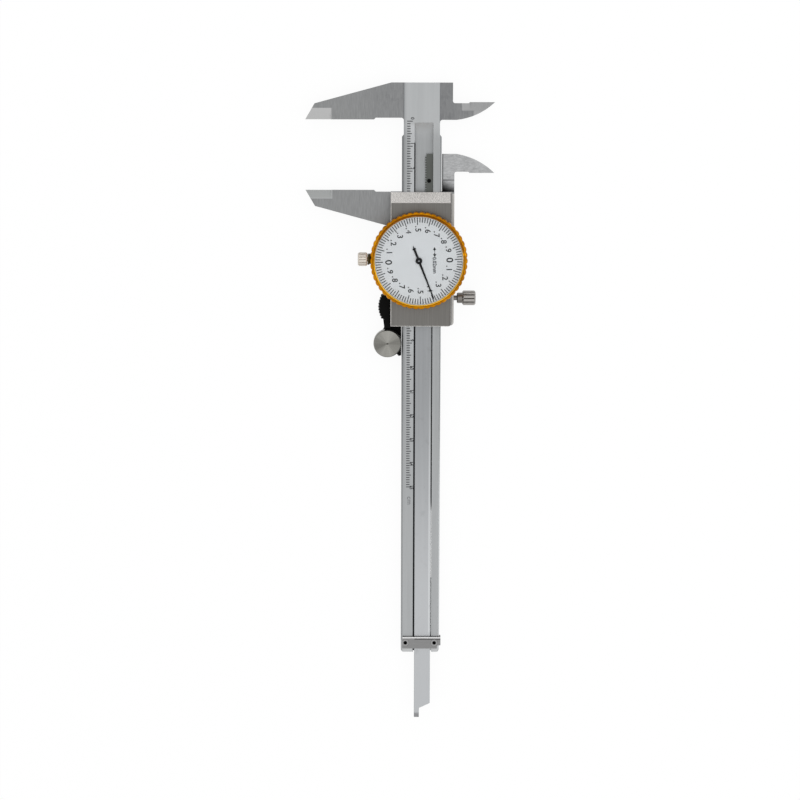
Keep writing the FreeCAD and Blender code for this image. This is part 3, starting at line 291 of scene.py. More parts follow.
def makeBeamSteel():
    spot = inMetres(beamMarks)
    coats = named(beamCoats)
    share = named(beamShares)
    finish = Finish("satinBeam", metallic=0.92)
    x, y, z = finish.axes()
    aside = x.maths("ABSOLUTE", x)
    satin, satinRough, satinGrain = groundColour(finish, "beam")
    jaw, jawRough, jawGrain = groundColour(finish, "jaw")
    # the beam's own front stays satin, the jaws beside it are ground
    onJaw = aside.above(spot.frontHalf, 0.05 * mm) * y.above(spot.jawLine, 0.05 * mm)
    # painted light: the far end is paler, and so is the head
    pale = y.below(spot.paleFrom - spot.paleRun, spot.paleRun)
    head = y.above(*spot.headFrom)
    satin = finish.tint(satin, coats.clean, pale * share.far + head * share.head)
    # edges worn and with a painted highlight, but not on the right bevel; painted shade down the
    # left side and on the upper right bevel, a painted highlight on the lower right one
    upper = y.above(*spot.upperFrom)
    satin = finish.tint(satin, coats.leftSide, x.below(spot.leftEnd, 2 * mm) * upper)
    right = x.above(spot.bevelFrom, 0.4 * mm)
    satin = finish.tint(satin, coats.wornEdge, finish.edges(0.2 * mm) * (1 - right))
    satin = finish.tint(satin, coats.dullEdge, right * y.above(*spot.dullFrom))
    satin = finish.tint(satin, coats.brightEdge, right * y.below(*spot.brightFrom))
    # the channel runs out in a shallow slope, given painted light by how far it tilts, as bright
    # as the front
    inside = x.within(spot.channelLeft, spot.channelRight, 0.05 * mm)
    runOut = inside * y.above(spot.slopeFrom, 2 * mm) * z.below(spot.slopeFace, 0.05 * mm)
    satin = finish.tint(satin, coats.slope, (1 - finish.facing()) * runOut)
    # a painted highlight beside the channel, and painted light past the stop plate's line
    beside = x.above(spot.polishLeft, 0.8 * mm) * x.below(spot.channelLeft, 0.1 * mm)
    satin = finish.tint(satin, coats.polish, beside * upper * y.below(spot.polishTop, 2 * mm))
    satin = finish.tint(satin, coats.underPlate, y.below(spot.plateLine, 1 * mm))
    # painted shade in the corner of the channel, and all along beside the rod
    step = y.above(spot.grooveFrom, 1 * mm) * spot.grooveStep
    dirt = ((x + step).below(spot.grooveLeft, 0.12 * mm)
            * x.above(spot.channelLeft - 0.15 * mm, 0.05 * mm) * y.below(spot.dirtTop, 1.5 * mm))
    satin = finish.tint(satin, coats.dirt, dirt)
    # painted shade in the gap on the rod's other side too, and painted light in that gap at the
    # far end
    gap = (x.above(spot.gapLeft, 0.08 * mm) * x.below(spot.gapRight, 0.05 * mm)
           * z.below(spot.gapFace, 0.02 * mm))
    satin = finish.tint(satin, coats.gap, gap * y.above(*spot.gapEnd)
                        * y.below(spot.gapTop, 1 * mm))
    satin = finish.tint(satin, coats.cleanGap, gap * y.below(*spot.cleanFrom))
    # lapped lands at the tips of the jaws
    left = x.below(spot.tipLeft, 0.15 * mm) * y.below(spot.tipHeight, 0.25 * mm)
    right = x.above(spot.tipRight, 0.2 * mm) * y.above(spot.tipRightBase, 0.25 * mm)
    land = left + right.most(x.above(spot.tipRightEnd, 0.6 * mm)) * share.rightLand
    # painted shade along the jaws' edges, and towards the right and at the root, with a random
    # mottle
    jaw = finish.tint(jaw, coats.jawEdge, finish.edges(0.25 * mm))
    mottle = finish.noise((420, 420, 420), 3.0, 0.6).above(0.5, 0.2)
    root = x.above(spot.frontHalf, 0.1 * mm) * x.below(spot.shadeRight, 3 * mm)
    shade = x.above(*spot.shadeLeft) + root
    jaw = finish.tint(jaw, coats.jawShade, shade * share.shade + mottle
                      * x.above(*spot.mottleLeft) * share.mottle)
    jaw = finish.tint(jaw, coats.land, land)
    colour = finish.mix(satin, jaw, onJaw)
    # a dark line where the jaws' ground faces meet the satin front
    line = aside.within(spot.frontHalf - spot.lineWidth, spot.frontHalf, 0.12 * mm)
    colour = finish.tint(colour, coats.line, line * y.above(spot.jawLine, 0.1 * mm))
    smudge = finish.noise((45, 30, 45), 3.0)
    colour = finish.tint(colour, coats.smudge, smudge.above(0.56, 0.25))
    return finish.done(colour, satinRough * (1 - onJaw) + jawRough * onJaw + smudge * 0.06,
                       satinGrain * (1 - onJaw) + jawGrain * onJaw, 0.006, 0.5)


sliderMarks = {
    # places in mm
    "bladeLeft": 8.1, "bladeEnd": -29.0, "gapRight": 8.6, "cutLine": -24.1, "cutWidth": 0.6,
    "rootX": 8.25, "rootEnd": (-28.5, 6.0), "tipLeft": -36.2, "tipBase": -31.9,
    "tipBorder": 0.5, "stripLeft": 12.3, "stripTop": -30.0,
}
# painted shade at the jaw's root
rootLean = 0.45     # mm that the jaw's dark root rises for each mm across
sliderCoats = {
    "edge": ((104, 104, 105), 0.4), "land": ((166, 168, 168), 0.7),
    "innerLand": ((148, 150, 149), 0.6), "beside": ((70, 72, 74), 0.85),
    "cut": ((98, 98, 99), 0.7), "root": ((14, 14, 13), 1.0), "strip": ((214, 210, 204), 0.5),
    "smudge": ((110, 110, 112), 0.2),
}


def makeSliderSteel():
    spot = inMetres(sliderMarks)
    coats = named(sliderCoats)
    finish = Finish("groundSlider", metallic=0.92)
    x, y, z = finish.axes()
    jaw, jawRough, jawGrain = groundColour(finish, "jaw")
    # painted shade along the jaw's edges
    jaw = finish.tint(jaw, coats.edge, finish.edges(0.25 * mm))
    # the lapped land at the tip, with a paler border
    land = x.below(spot.tipLeft, 0.12 * mm) * y.above(spot.tipBase, 0.15 * mm)
    inner = (x.below(spot.tipLeft - spot.tipBorder, 0.12 * mm)
             * y.above(spot.tipBase + spot.tipBorder, 0.12 * mm))
    jaw = finish.tint(jaw, coats.land, land)
    jaw = finish.tint(jaw, coats.innerLand, inner)
    # the inside jaw is milled across, so its marks run along X
    across = finish.noise((800, 3600, 3600), 5.0, 0.8)
    patch = finish.noise((500, 500, 500), 2.0)
    milled = finish.mix(tone(84, 85, 86), tone(208, 209, 210), across * 1.1 + patch * 0.2 - 0.18)
    # painted shade where it passes behind the beam and at its root, and a dark line along one cut
    milled = finish.tint(milled, coats.beside, x.below(spot.gapRight, 0.2 * mm))
    line = y.within(spot.cutLine - spot.cutWidth, spot.cutLine, 0.15 * mm)
    milled = finish.tint(milled, coats.cut, line)
    root = (y + (x - spot.rootX) * rootLean).below(*spot.rootEnd)
    milled = finish.tint(milled, coats.root, root)
    blade = x.above(spot.bladeLeft, 0.05 * mm) * y.above(spot.bladeEnd, 0.05 * mm)
    colour = finish.mix(jaw, milled, blade)
    strip = x.above(spot.stripLeft, 0.2 * mm) * y.below(spot.stripTop, 0.5 * mm)
    colour = finish.tint(colour, coats.strip, strip)
    smudge = finish.noise((70, 40, 70), 3.0)
    colour = finish.tint(colour, coats.smudge, smudge.above(0.56, 0.25))
    return finish.done(colour, jawRough + smudge * 0.06 + blade * root * 0.3,
                       jawGrain * (1 - blade) + across * blade, 0.006, 0.5)


blockMarks = {"sideFrom": 11.5, "sideTo": 12.2, "sideTop": -30.0}    # places in mm
blockCoats = {
    "smudge": ((88, 85, 82), 0.25), "edge": ((196, 193, 188), 0.4), "side": ((58, 54, 48), 0.55),
}


def makeBlockSteel():
    spot = inMetres(blockMarks)
    coats = named(blockCoats)
    finish = Finish("groundBlock", metallic=0.9)
    x, y, z = finish.axes()
    front, frontRough, grain = groundColour(finish, "block")
    # the slope at the top is rough, as cut by a mill and blasted, and pale with painted light,
    # picked by which way it faces
    speckle = finish.noise((2600, 2600, 2600), 4.0, 0.75)
    pale = finish.mix(tone(150, 147, 143), tone(234, 231, 228), speckle.above(0.28, 0.36))
    facing = finish.facing()
    slope = facing.below(0.9, 0.05) * facing.above(0.3, 0.1)
    colour = finish.mix(front, pale, slope)
    smudge = finish.noise((90, 60, 90), 3.0)
    colour = finish.tint(colour, coats.smudge, smudge.above(0.58, 0.25))
    # a painted highlight along the edges, and painted shade in the seam on the right side
    side = x.above(spot.sideFrom, 0.2 * mm)
    colour = finish.tint(colour, coats.edge, finish.edges(0.2 * mm) * (1 - side))
    colour = finish.tint(colour, coats.side, side * x.below(spot.sideTo, 0.1 * mm)
                         * y.below(spot.sideTop, 1 * mm))
    return finish.done(colour, frontRough * (1 - slope) + slope * 0.62,
                       grain * (1 - slope) + speckle * slope * 4.0, 0.008, 0.6)


rodMarks = {
    # places in mm
    "paleFrom": -205.0, "paleRun": 105.0, "leftLine": -2.34, "rightLine": 4.04,
    "darkEnd": (-160.0, 6.0), "stripLeft": 3.2, "stripRight": 3.95,
    "stripTop": -150.0, "stripRun": 60.0, "stripEnd": -214.0, "tipFrom": -248.2,
}
rodCoats = {
    "pale": ((182, 184, 186), 0.7), "leftLine": ((30, 32, 34), 0.5),
    "rightLine": ((24, 25, 27), 0.8), "strip": ((214, 216, 217), 0.35),
    "stain": ((112, 113, 114), 0.18), "tip": ((92, 90, 92), 0.6), "edge": ((226, 228, 229), 0.4),
}


def makeRodSteel():
    spot = inMetres(rodMarks)
    coats = named(rodCoats)
    finish = Finish("groundRod", metallic=0.92)
    x, y, z = finish.axes()
    colour, roughness, grain = groundColour(finish, "rod")
    # painted light towards the far end, and painted shade along both sides
    colour = finish.tint(colour, coats.pale, y.below(spot.paleFrom, spot.paleRun))
    colour = finish.tint(colour, coats.leftLine, x.below(spot.leftLine, 0.1 * mm))
    colour = finish.tint(colour, coats.rightLine, x.above(spot.rightLine, 0.1 * mm)
                         * y.above(*spot.darkEnd))
    # a painted highlight down the right side, and a stain or two
    strip = (x.above(spot.stripLeft, 0.3 * mm) * x.below(spot.stripRight, 0.15 * mm)
             * y.below(spot.stripTop, spot.stripRun) * y.above(spot.stripEnd, 2 * mm))
    colour = finish.tint(colour, coats.strip, strip)
    stain = finish.noise((260, 200, 260), 3.0, 0.6)
    colour = finish.tint(colour, coats.stain, stain.above(0.55, 0.2))
    # painted shade at the far tip, and a painted highlight along the edges
    colour = finish.tint(colour, coats.tip, y.below(spot.tipFrom, 1.2 * mm))
    colour = finish.tint(colour, coats.edge, finish.edges(0.2 * mm))
    return finish.done(colour, roughness, grain, 0.005, 0.5)


# other metals

def makeSteel(name, dark, light, grain, low=0.28, high=0.42, metallic=0.92, wear=0.35,
              brushed=0.006, **fixed):
    # plain steel with a grain, a little stain and brighter edges
    finish = Finish(name, metallic=metallic, **fixed)
    fine = finish.noise(grain, 3.0)
    stain = finish.noise((160, 160, 160), 3.0)
    colour = finish.mix(tone(*dark), tone(*light), fine * 0.8 + stain * 0.2)
    bright = tuple(min(255, c + 45) for c in light)
    colour = finish.mix(colour, tone(*bright), finish.edges(0.12 * mm) * wear)
    return finish.done(colour, low + (high - low) * fine + stain * 0.06, fine, brushed, 0.5)


def makeKnob(name, node, reach, length, dark, light, neck, depth, dull):
    # polished knob along X, rougher and with painted shade in its flutes; length is negative
    # where the head is at -X
    low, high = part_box(node)
    middle = ((low.y + high.y) / 2, (low.z + high.z) / 2)
    ends = (high.x - length * mm, high.x) if length > 0 else (low.x, low.x - length * mm)
    finish = Finish(name, metallic=0.95)
    x, y, z = finish.axes()
    dy = y - middle[0]
    dz = z - middle[1]
    radius = reachOf(dy, dz)
    inHead = x.within(ends[0] + 0.45 * mm, ends[1] - 0.5 * mm, 0.05 * mm)
    flute = radius.below((reach - 0.3) * mm, 0.2 * mm) * inHead
    fine = finish.noise((500, 7000, 7000), 2.0)
    colour = finish.mix(tone(*dark), tone(*light), fine)
    colour = finish.tint(colour, ((62, 59, 56), depth), flute)
    colour = finish.tint(colour, ((232, 229, 225), 0.3 - dull * 0.5), finish.edges(0.12 * mm))
    colour = finish.mix(tone(*neck), colour, x.within(*ends, 0.05 * mm))
    return finish.done(colour, 0.24 + dull + fine * 0.12 + flute * 0.2, fine, 0.004, 0.5)


def makeTurned(name, centre, dark, light, pitch=9000.0, low=0.24, high=0.38, spread=1.3,
               dimple=0.0, lug=1.0):
    # lathe marks: fine rings round an axis, with a painted sheen along spokes
    finish = Finish(name, metallic=0.95)
    x, y, z = finish.axes()
    dx = x - centre[0]
    dy = y - centre[1]
    radius = reachOf(dx, dy)
    rings = radius.maths("SINE", radius * pitch)
    # a pattern of the direction alone, so it runs in to the middle
    way = finish.add("CombineXYZ", None, {0: dx / radius, 1: dy / radius})
    spokes = finish.noiseOn(way, spread, 3.0, 0.6)
    # painted sheen: lighter above and below the middle, darker to the sides, on flat faces only
    across = (dx / radius) ** 2.0
    flat = finish.facing().above(0.7, 0.2)
    shade = rings * 0.05 + 0.5 + ((spokes - 0.5) * 1.5 + (0.5 - across) * 0.8) * flat
    colour = finish.mix(tone(*dark), tone(*light), shade.most(0.0))
    # a painted highlight along the edges, and painted shade in the dimple
    colour = finish.mix(colour, tone(*[min(255, c + 30) for c in light]),
                        finish.edges(0.15 * mm) * 0.35)
    colour = finish.mix(colour, tone(40, 39, 37), radius.below(dimple * mm, 0.12 * mm) * 0.7)
    colour = finish.mix(colour, tone(58, 50, 28), radius.above(lug, 0.1 * mm))
    return finish.done(colour, low + (high - low) * spokes, rings, 0.003, 0.3)


rackMarks = {"edge": 4.05, "oilTop": -82.0, "rubbedTop": (-163.0, 6.0)}    # in mm
rackCoats = {"gapShade": ((10, 11, 12), 0.9), "gapLight": ((236, 236, 236), 1.0),
             "worn": ((140, 142, 138), 0.15)}


def makeRackSteel():
    # blued, with painted shade along the rod's edge and painted light there at the far end
    spot = inMetres(rackMarks)
    finish = Finish("bluedRack", metallic=0.92)
    x, y, z = finish.axes()
    fine = finish.noise(alongY, 3.0)
    colour = finish.mix(tone(66, 68, 65), tone(96, 98, 95), fine * 0.8 + 0.1)
    edge = x.above(spot.edge, 0.08 * mm)
    colour = finish.tint(colour, rackCoats["gapShade"], edge * y.below(spot.oilTop, 1 * mm))
    colour = finish.tint(colour, rackCoats["gapLight"],
                         edge * y.below(*spot.rubbedTop))
    colour = finish.tint(colour, rackCoats["worn"], finish.edges(0.12 * mm))
    return finish.done(colour, fine * 0.14 + 0.36, fine, 0.006, 0.5)


stopMarks = {"band": 0.6, "shade": 0.09, "lineTop": 0.62, "lineEnd": 1.12, "lineLeft": -2.4}
stopCoats = {"band": ((232, 232, 232), 0.75), "shade": ((26, 26, 27), 0.9),
             "line": ((36, 36, 37), 0.75), "worn": ((196, 196, 196), 0.3)}


def makeStopPlate():
    # painted shade on its upper side, and a painted highlight on the edge in front of that
    spot = inMetres(stopMarks)
    finish = Finish("stopPlate", metallic=0.9)
    x, y, z = finish.axes()
    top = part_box("stop_plate")[1].y
    fine = finish.noise((260, 5000, 5000), 3.0)
    colour = finish.mix(tone(108, 108, 108), tone(138, 138, 138), fine)
    colour = finish.tint(colour, stopCoats["band"], y.above(top - spot.band, 0.15 * mm))
    colour = finish.tint(colour, stopCoats["shade"], y.above(top - spot.shade, 0.05 * mm))
    line = y.within(top - spot.lineEnd, top - spot.lineTop, 0.04 * mm)
    colour = finish.tint(colour, stopCoats["line"], line * x.above(spot.lineLeft, 0.3 * mm))
    colour = finish.tint(colour, stopCoats["worn"], finish.edges(0.12 * mm))
    return finish.done(colour, fine * 0.12 + 0.34, fine, 0.006, 0.5)


def makeSocketScrews():
    # steel heads, with painted shade in their sockets
    finish = Finish("socketScrews", metallic=0.9)
    low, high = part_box("stop_screws")
    x, y, z = finish.axes()
    half = (high.x - low.x) / 2
    reach = (high.y - low.y) / 2
    # both heads folded onto one, by the distance from the middle between them
    dx = x.maths("ABSOLUTE", x - (low.x + high.x) / 2) - (half - reach)
    dy = y - (low.y + high.y) / 2
    radius = reachOf(dx, dy)
    socket = radius.below(0.74 * mm, 0.08 * mm)
    fine = finish.noise((3000, 3000, 3000), 2.0)
    colour = finish.mix(tone(120, 120, 120), tone(150, 150, 150), fine)
    colour = finish.mix(colour, tone(8, 8, 9), socket)
    return finish.done(colour, 0.34 + socket * 0.4 + fine * 0.08)


goldMarks = {
    # distances from the dial's middle, in mm
    "top": 18.75, "lip": 18.35, "crest": 19.35, "lowFrom": (-6.0, 12.0),
    "rightFrom": (9.0, 8.0), "rightUp": (-3.0, 6.0),
    "leftFrom": (-17.0, 6.0), "shadeUp": (2.0, 14.0),
    "shadeRight": 8.0, "shadeRightRun": 9.0,
}
goldCoats = {
    "top": ((160, 96, 0), 0.4), "lip": ((104, 62, 0), 0.7), "lowLip": ((250, 200, 30), 0.5),
    "crest": ((252, 186, 20), 1.0), "shade": ((132, 80, 0), 0.4), "edge": ((255, 206, 84), 1.0),
}


def makeGold():
    spot = inMetres(goldMarks)
    coats = named(goldCoats)
    finish = Finish("goldBezel", metallic=0.96)
    x, y, z = finish.axes()
    dx = x - dialCentre[0]
    dy = y - dialCentre[1]
    radius = reachOf(dx, dy)
    cloud = finish.noise((260, 260, 260), 3.0)
    colour = finish.mix(tone(178, 112, 0), tone(214, 142, 4), cloud.above(0.3, 0.4))
    # the top ring is deeper in colour; its lip gets painted shade, and a painted highlight low
    # down only
    colour = finish.tint(colour, coats.top, radius.below(spot.top, 0.15 * mm))
    lip = radius.below(spot.lip, 0.12 * mm)
    low = dy.below(*spot.lowFrom)
    colour = finish.tint(colour, coats.lip, lip * (1 - low))
    colour = finish.tint(colour, coats.lowLip, lip * low)
    # painted highlights on the scallops' crests, and painted glints, most at the upper right
    crest = radius.above(spot.crest, 0.25 * mm)
    aside = (dx.above(*spot.rightFrom) * dy.above(*spot.rightUp)
             + dx.below(*spot.leftFrom) * 0.5)
    glint = finish.noise((420, 420, 420), 2.0).above(0.45, 0.2) * aside
    colour = finish.tint(colour, coats.crest, crest * 0.12 + glint * 0.45)
    shade = dy.above(*spot.shadeUp).most(
        dx.above(spot.shadeRight, spot.shadeRightRun))
    colour = finish.tint(colour, coats.shade, shade * (1 - glint))
    # a painted highlight along the edges, most on the glinting sides
    colour = finish.tint(colour, coats.edge, finish.edges(0.15 * mm) * (aside * 0.3 + 0.15))
    return finish.done(colour, 0.3 + cloud * 0.14, finish.noise((2500, 2500, 2500), 2.0), 0.004,
                       0.3)


# paint, ink and glass

def makePaint(name, dark, light, roughness=0.45, cloudScale=300, wear=None, bump=0.003, **fixed):
    finish = Finish(name, **fixed)
    cloud = finish.noise((cloudScale, cloudScale, cloudScale), 3.0)
    colour = finish.mix(tone(*dark), tone(*light), cloud)
    if wear:
        colour = finish.mix(colour, tone(*wear), finish.edges(0.15 * mm) * 0.4)
    return finish.done(colour, roughness + cloud * 0.1 - 0.05, finish.noise((4000, 4000, 4000),
                       2.0), bump, 0.4)


def makeGlass():
    finish = Finish("clearCrystal")
    haze = finish.noise((90, 90, 90), 2.0)
    finish.done(finish.mix(tone(240, 246, 250), tone(252, 254, 255), haze), haze * 0.03 + 0.02)
    clear = finish.add("BsdfTransparent", None, {"Color": (0.985, 0.99, 0.99, 1)})
    shine = finish.add("Fresnel", None, {"IOR": 1.17})
    shadow = finish.add("LightPath", out="Is Shadow Ray")
    finish.output(shine * (1 - shadow), clear, finish.whole())
    return finish.material


def middleOf(node):
    low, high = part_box(node)
    return ((low.x + high.x) / 2, (low.y + high.y) / 2)


dialCentre = middleOf("dial_face")
rollerCentre = middleOf("thumb_roller")
alongY = (7000, 200, 7000)
everyWay = (2200, 2200, 2200)

looks = {
    "rack": makeRackSteel(),
    "rod": makeRodSteel(),
    "stop": makeStopPlate(),
    "darkScrew": makeSteel("blackedScrew", (14, 14, 15), (34, 34, 36), everyWay, 0.3, 0.45,
                           metallic=0.6, wear=0.3, Specular_IOR_Level=0.25),
    "blackScrew": makePaint("blackScrew", (3, 3, 3), (12, 12, 12), 0.6, 900,
                            Specular_IOR_Level=0.1),
    "brightScrew": makeSteel("brightScrew", (140, 140, 140), (190, 190, 190), everyWay),
    "socketScrew": makeSocketScrews(),
    "pivot": makeSteel("polishedPivot", (150, 152, 156), (196, 198, 202), everyWay, 0.14, 0.24),
    "spring": makeSteel("temperedSpring", (60, 70, 110), (96, 104, 140), everyWay, 0.22, 0.32),
    "brass": makeSteel("brushedBrass", (176, 134, 62), (222, 184, 104), (5000, 300, 5000)),
    "bronze": makeSteel("bushBronze", (150, 98, 52), (190, 132, 78), everyWay),
    "lockKnob": makeKnob("chromedLock", "lock_screw", 3.0, 5.4, (124, 121, 118),
                         (182, 179, 175), (118, 114, 110), 0.85, 0.0),
    "clampKnob": makeKnob("chromedClamp", "bezel_clamp_screw", 2.75, -3.8, (198, 191, 182),
                          (232, 226, 217), (78, 68, 40), 0.05, 0.3),
    "case": makeTurned("turnedCase", dialCentre, (104, 104, 102), (158, 158, 156),
                       lug=18.8 * mm),
    "roller": makeTurned("spunRoller", rollerCentre, (100, 99, 95), (142, 141, 136),
                         dimple=0.3),
    "beam": makeBeamSteel(),
    "slider": makeSliderSteel(),
    "block": makeBlockSteel(),
    "gold": makeGold(),
    "dial": makePaint("whiteDial", (198, 199, 201), (206, 207, 209), 0.5, 220),
    "reflector": makePaint("paleReflector", (198, 194, 188), (222, 219, 214), 0.4, 220),
    "ink": makePaint("blackInk", (14, 14, 16), (30, 30, 32), 0.55, 900, Specular_IOR_Level=0.2),
    "lineInk": makePaint("lineInk", (40, 42, 45), (64, 66, 70), 0.6, 900,
                         Specular_IOR_Level=0.2),
    "noteInk": makePaint("noteInk", (36, 38, 41), (56, 58, 62), 0.6, 900,
                         Specular_IOR_Level=0.2),
    "scaleInk": makePaint("etchedScale", (34, 35, 37), (62, 63, 65), 0.6, 1500,
                          Specular_IOR_Level=0.25),
    "faintInk": makePaint("wornScale", (84, 85, 87), (112, 113, 115), 0.6, 1500,
                          Specular_IOR_Level=0.25),
    "hand": makePaint("blackHand", (4, 4, 5), (12, 12, 14), 0.6, 700, Specular_IOR_Level=0.1),
    "black": makePaint("blackRest", (4, 4, 4), (14, 14, 13), 0.6, 600, wear=(44, 44, 42),
                       Specular_IOR_Level=0.06),
    "glass": makeGlass(),
}
print("stage: finishes,", len(looks))


# making pieces

def addObject(name, data):
    made = bpy.data.objects.new(name, data)
    bpy.context.scene.collection.objects.link(made)
    return made


def keepPiece(bm, name, body, look, smooth=None):
    # turns a bmesh into an object that rides on a body
    bmesh.ops.recalc_face_normals(bm, faces=bm.faces)
    if smooth is not None:
        limit = math.radians(smooth)
        for face in bm.faces:
            face.smooth = True
        for edge in bm.edges:
            edge.smooth = edge.is_boundary or edge.calc_face_angle(0) < limit
    mesh = bpy.data.meshes.new(name)
    bm.to_mesh(mesh)
    bm.free()
    piece = addObject(name, mesh)
    mesh.materials.append(looks[look])
    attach(piece, body)
    return piece


softEdges = {
    # node: (look, rounding of its edges in mm)
    "beam": ("beam", 0.09), "slider_frame": ("slider", 0.10), "gear_block": ("block", 0.08),
    "stop_plate": ("stop", 0.10), "depth_rod": ("rod", 0.06), "thumb_rest": ("black", 0.02),
    "dial_case": ("case", 0.06), "lock_screw": ("lockKnob", 0.07),
    "bezel_clamp_screw": ("clampKnob", 0.07), "stop_screws": ("socketScrew", 0.05),
    "rack_screws": ("blackScrew", 0.0), "gib": ("brass", 0.04),
    "gib_screws": ("brightScrew", 0.04), "block_screws": ("darkScrew", 0.0),
    "rod_screws": ("darkScrew", 0.0),
    "case_screws": ("darkScrew", 0.0), "rest_screws": ("darkScrew", 0.05),
    "roller_washer": ("bronze", 0.0), "roller_clip": ("brightScrew", 0.04),
    "rack": ("rack", 0.0), "movement_plate": ("brass", 0.03), "bridge_plate": ("brass", 0.03),
    "arbor_bushes": ("bronze", 0.0), "pillars": ("brass", 0.0),
    "bridge_screws": ("brightScrew", 0.0), "rack_arbor": ("pivot", 0.0),
    "rack_wheel": ("brass", 0.0), "return_wheel": ("brass", 0.0), "return_arbor": ("pivot", 0.0),
    "centre_arbor": ("pivot", 0.0), "hairspring": ("spring", 0.0),
    "hairspring_stud": ("brightScrew", 0.0), "retaining_ring": ("pivot", 0.0),
    "spacer_ring": ("reflector", 0.0), "dial_face": ("dial", 0.0),
}
sharpFrom = 22    # degrees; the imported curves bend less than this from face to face


def softenNode(node, look, width):
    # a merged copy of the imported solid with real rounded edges
    bm = bmesh.new()
    bm.from_mesh(frame["nodes"][node].data)
    bmesh.ops.remove_doubles(bm, verts=bm.verts, dist=1e-6)
    bmesh.ops.dissolve_limit(bm, angle_limit=math.radians(0.4), verts=bm.verts, edges=bm.edges)
    piece = keepPiece(bm, node + "_fine", bodyOf[node], look, smooth=sharpFrom)
    if width:
        bevel = piece.modifiers.new("roundedEdges", "BEVEL")
        bevel.width = width * mm
        bevel.segments = 2
        bevel.limit_method = "ANGLE"
        bevel.angle_limit = math.radians(sharpFrom)
        bevel.harden_normals = True
        bevel.miter_outer = "MITER_ARC"
    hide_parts(node)


for node, (look, width) in softEdges.items():
    softenNode(node, look, width)
print("stage: softened nodes,", len(softEdges))


# bezel

bezelSize = {
    "bumps": 50, "depth": 0.5, "flange": 4.3, "ring": 18.45, "opening": 17.8, "inside": 17.45,
    "ledge": 16.7, "seat": 12.43, "bore": 18.02, "crystalTop": 14.8,
}


def makeBezel():
    size = named(bezelSize)
    low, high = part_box("bezel")
    tip = (high.x - low.x) / 2 / mm
    bottom, top = low.z / mm, high.z / mm
    flangeTop = bottom + size.flange
    valley = tip - size.depth

    def placeRing(verts, radius, z, bump):
        for vert in verts:
            angle = math.atan2(vert.co.y, vert.co.x)
            wave = abs(math.cos(angle * size.bumps / 2)) ** 0.7
            reach = (radius + bump * wave) * mm
            vert.co = Vector((math.cos(angle) * reach, math.sin(angle) * reach, z * mm))

    depth = size.depth - 0.04
    rings = [
        # radius, height, how far the bumps stand out
        (valley - 0.25, bottom, 0.0),
        (valley, bottom + 0.3, depth),
        (valley, flangeTop - 0.9, depth),
        (valley - 0.06, flangeTop - 0.5, depth * 0.85),
        (valley - 0.2, flangeTop - 0.2, depth * 0.5),
        (valley - 0.42, flangeTop - 0.02, depth * 0.12),
        (size.ring + 0.18, flangeTop + 0.02, 0.0),
        (size.ring + 0.02, flangeTop - 0.1, 0.0),
        (size.ring, flangeTop + 0.1, 0.0),
        (size.ring - 0.08, top - 0.25, 0.0),
        (size.ring - 0.28, top - 0.03, 0.0),
        (size.ring - 0.4, top, 0.0),
        (size.opening + 0.1, top, 0.0),
        (size.opening, top - 0.1, 0.0),
        (size.opening, size.crystalTop - 0.75, 0.0),
        (size.bore - 0.02, size.crystalTop - 0.8, 0.0),
        (size.bore - 0.02, size.seat, 0.0),
        (size.ledge, size.seat, 0.0),
        (size.ledge, size.seat - 0.15, 0.0),
        (size.inside, size.seat - 0.2, 0.0),
        (size.inside, bottom, 0.0),
    ]
    bm = bmesh.new()
    bmesh.ops.create_circle(bm, cap_ends=False, segments=size.bumps * 12, radius=1.0)
    placeRing(bm.verts, *rings[0])
    first = bm.edges[:]
    loop = first
    for ring in rings[1:]:
        made = bmesh.ops.extrude_edge_only(bm, edges=loop)["geom"]
        verts = [g for g in made if isinstance(g, bmesh.types.BMVert)]
        placeRing(verts, *ring)
        fresh = set(verts)
        loop = [g for g in made if isinstance(g, bmesh.types.BMEdge)
                and g.verts[0] in fresh and g.verts[1] in fresh]
    bmesh.ops.bridge_loops(bm, edges=first + loop)
    bmesh.ops.translate(bm, verts=bm.verts, vec=(*dialCentre, 0))
    piece = keepPiece(bm, "bezel_ring", "bezel", "gold", smooth=28)
    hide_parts("bezel")


makeBezel()
print("stage: bezel")


# crystal

def spinProfile(bm, profile, steps):
    # turns (radius, height) points about Z into a closed skin
    verts = [bm.verts.new((r, 0, z)) for r, z in profile]
    edges = [bm.edges.new(pair) for pair in zip(verts, verts[1:])]
    bmesh.ops.spin(bm, geom=verts + edges, cent=(0, 0, 0), axis=(0, 0, 1),
                   angle=2 * math.pi, steps=steps, use_merge=True)
    bmesh.ops.remove_doubles(bm, verts=bm.verts, dist=1e-7)


def makeCrystal():
    low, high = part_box("crystal")
    radius = (high.x - low.x) / 2
    edge = high.z - 0.25 * mm
    bm = bmesh.new()
    profile = [(0, low.z), (radius * 0.5, low.z), (radius, low.z), (radius, edge),
               (radius - 0.25 * mm, edge + 0.04 * mm)]
    for share in (0.96, 0.9, 0.8, 0.65, 0.45, 0.25):
        profile.append((radius * share, edge + 0.25 * mm * (1 - share ** 4)))
    profile.append((0, high.z))
    spinProfile(bm, profile, 128)
    bmesh.ops.translate(bm, verts=bm.verts, vec=(*dialCentre, 0))
    piece = keepPiece(bm, "domed_crystal", "bezel", "glass", smooth=40)
    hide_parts("crystal")


makeCrystal()
print("stage: crystal")


# thumb roller

rollerSize = {"edge": 0.45, "knurls": 72, "depth": 0.09, "dimple": 0.45, "shaft": 1.2,
              "bottom": 0.5}


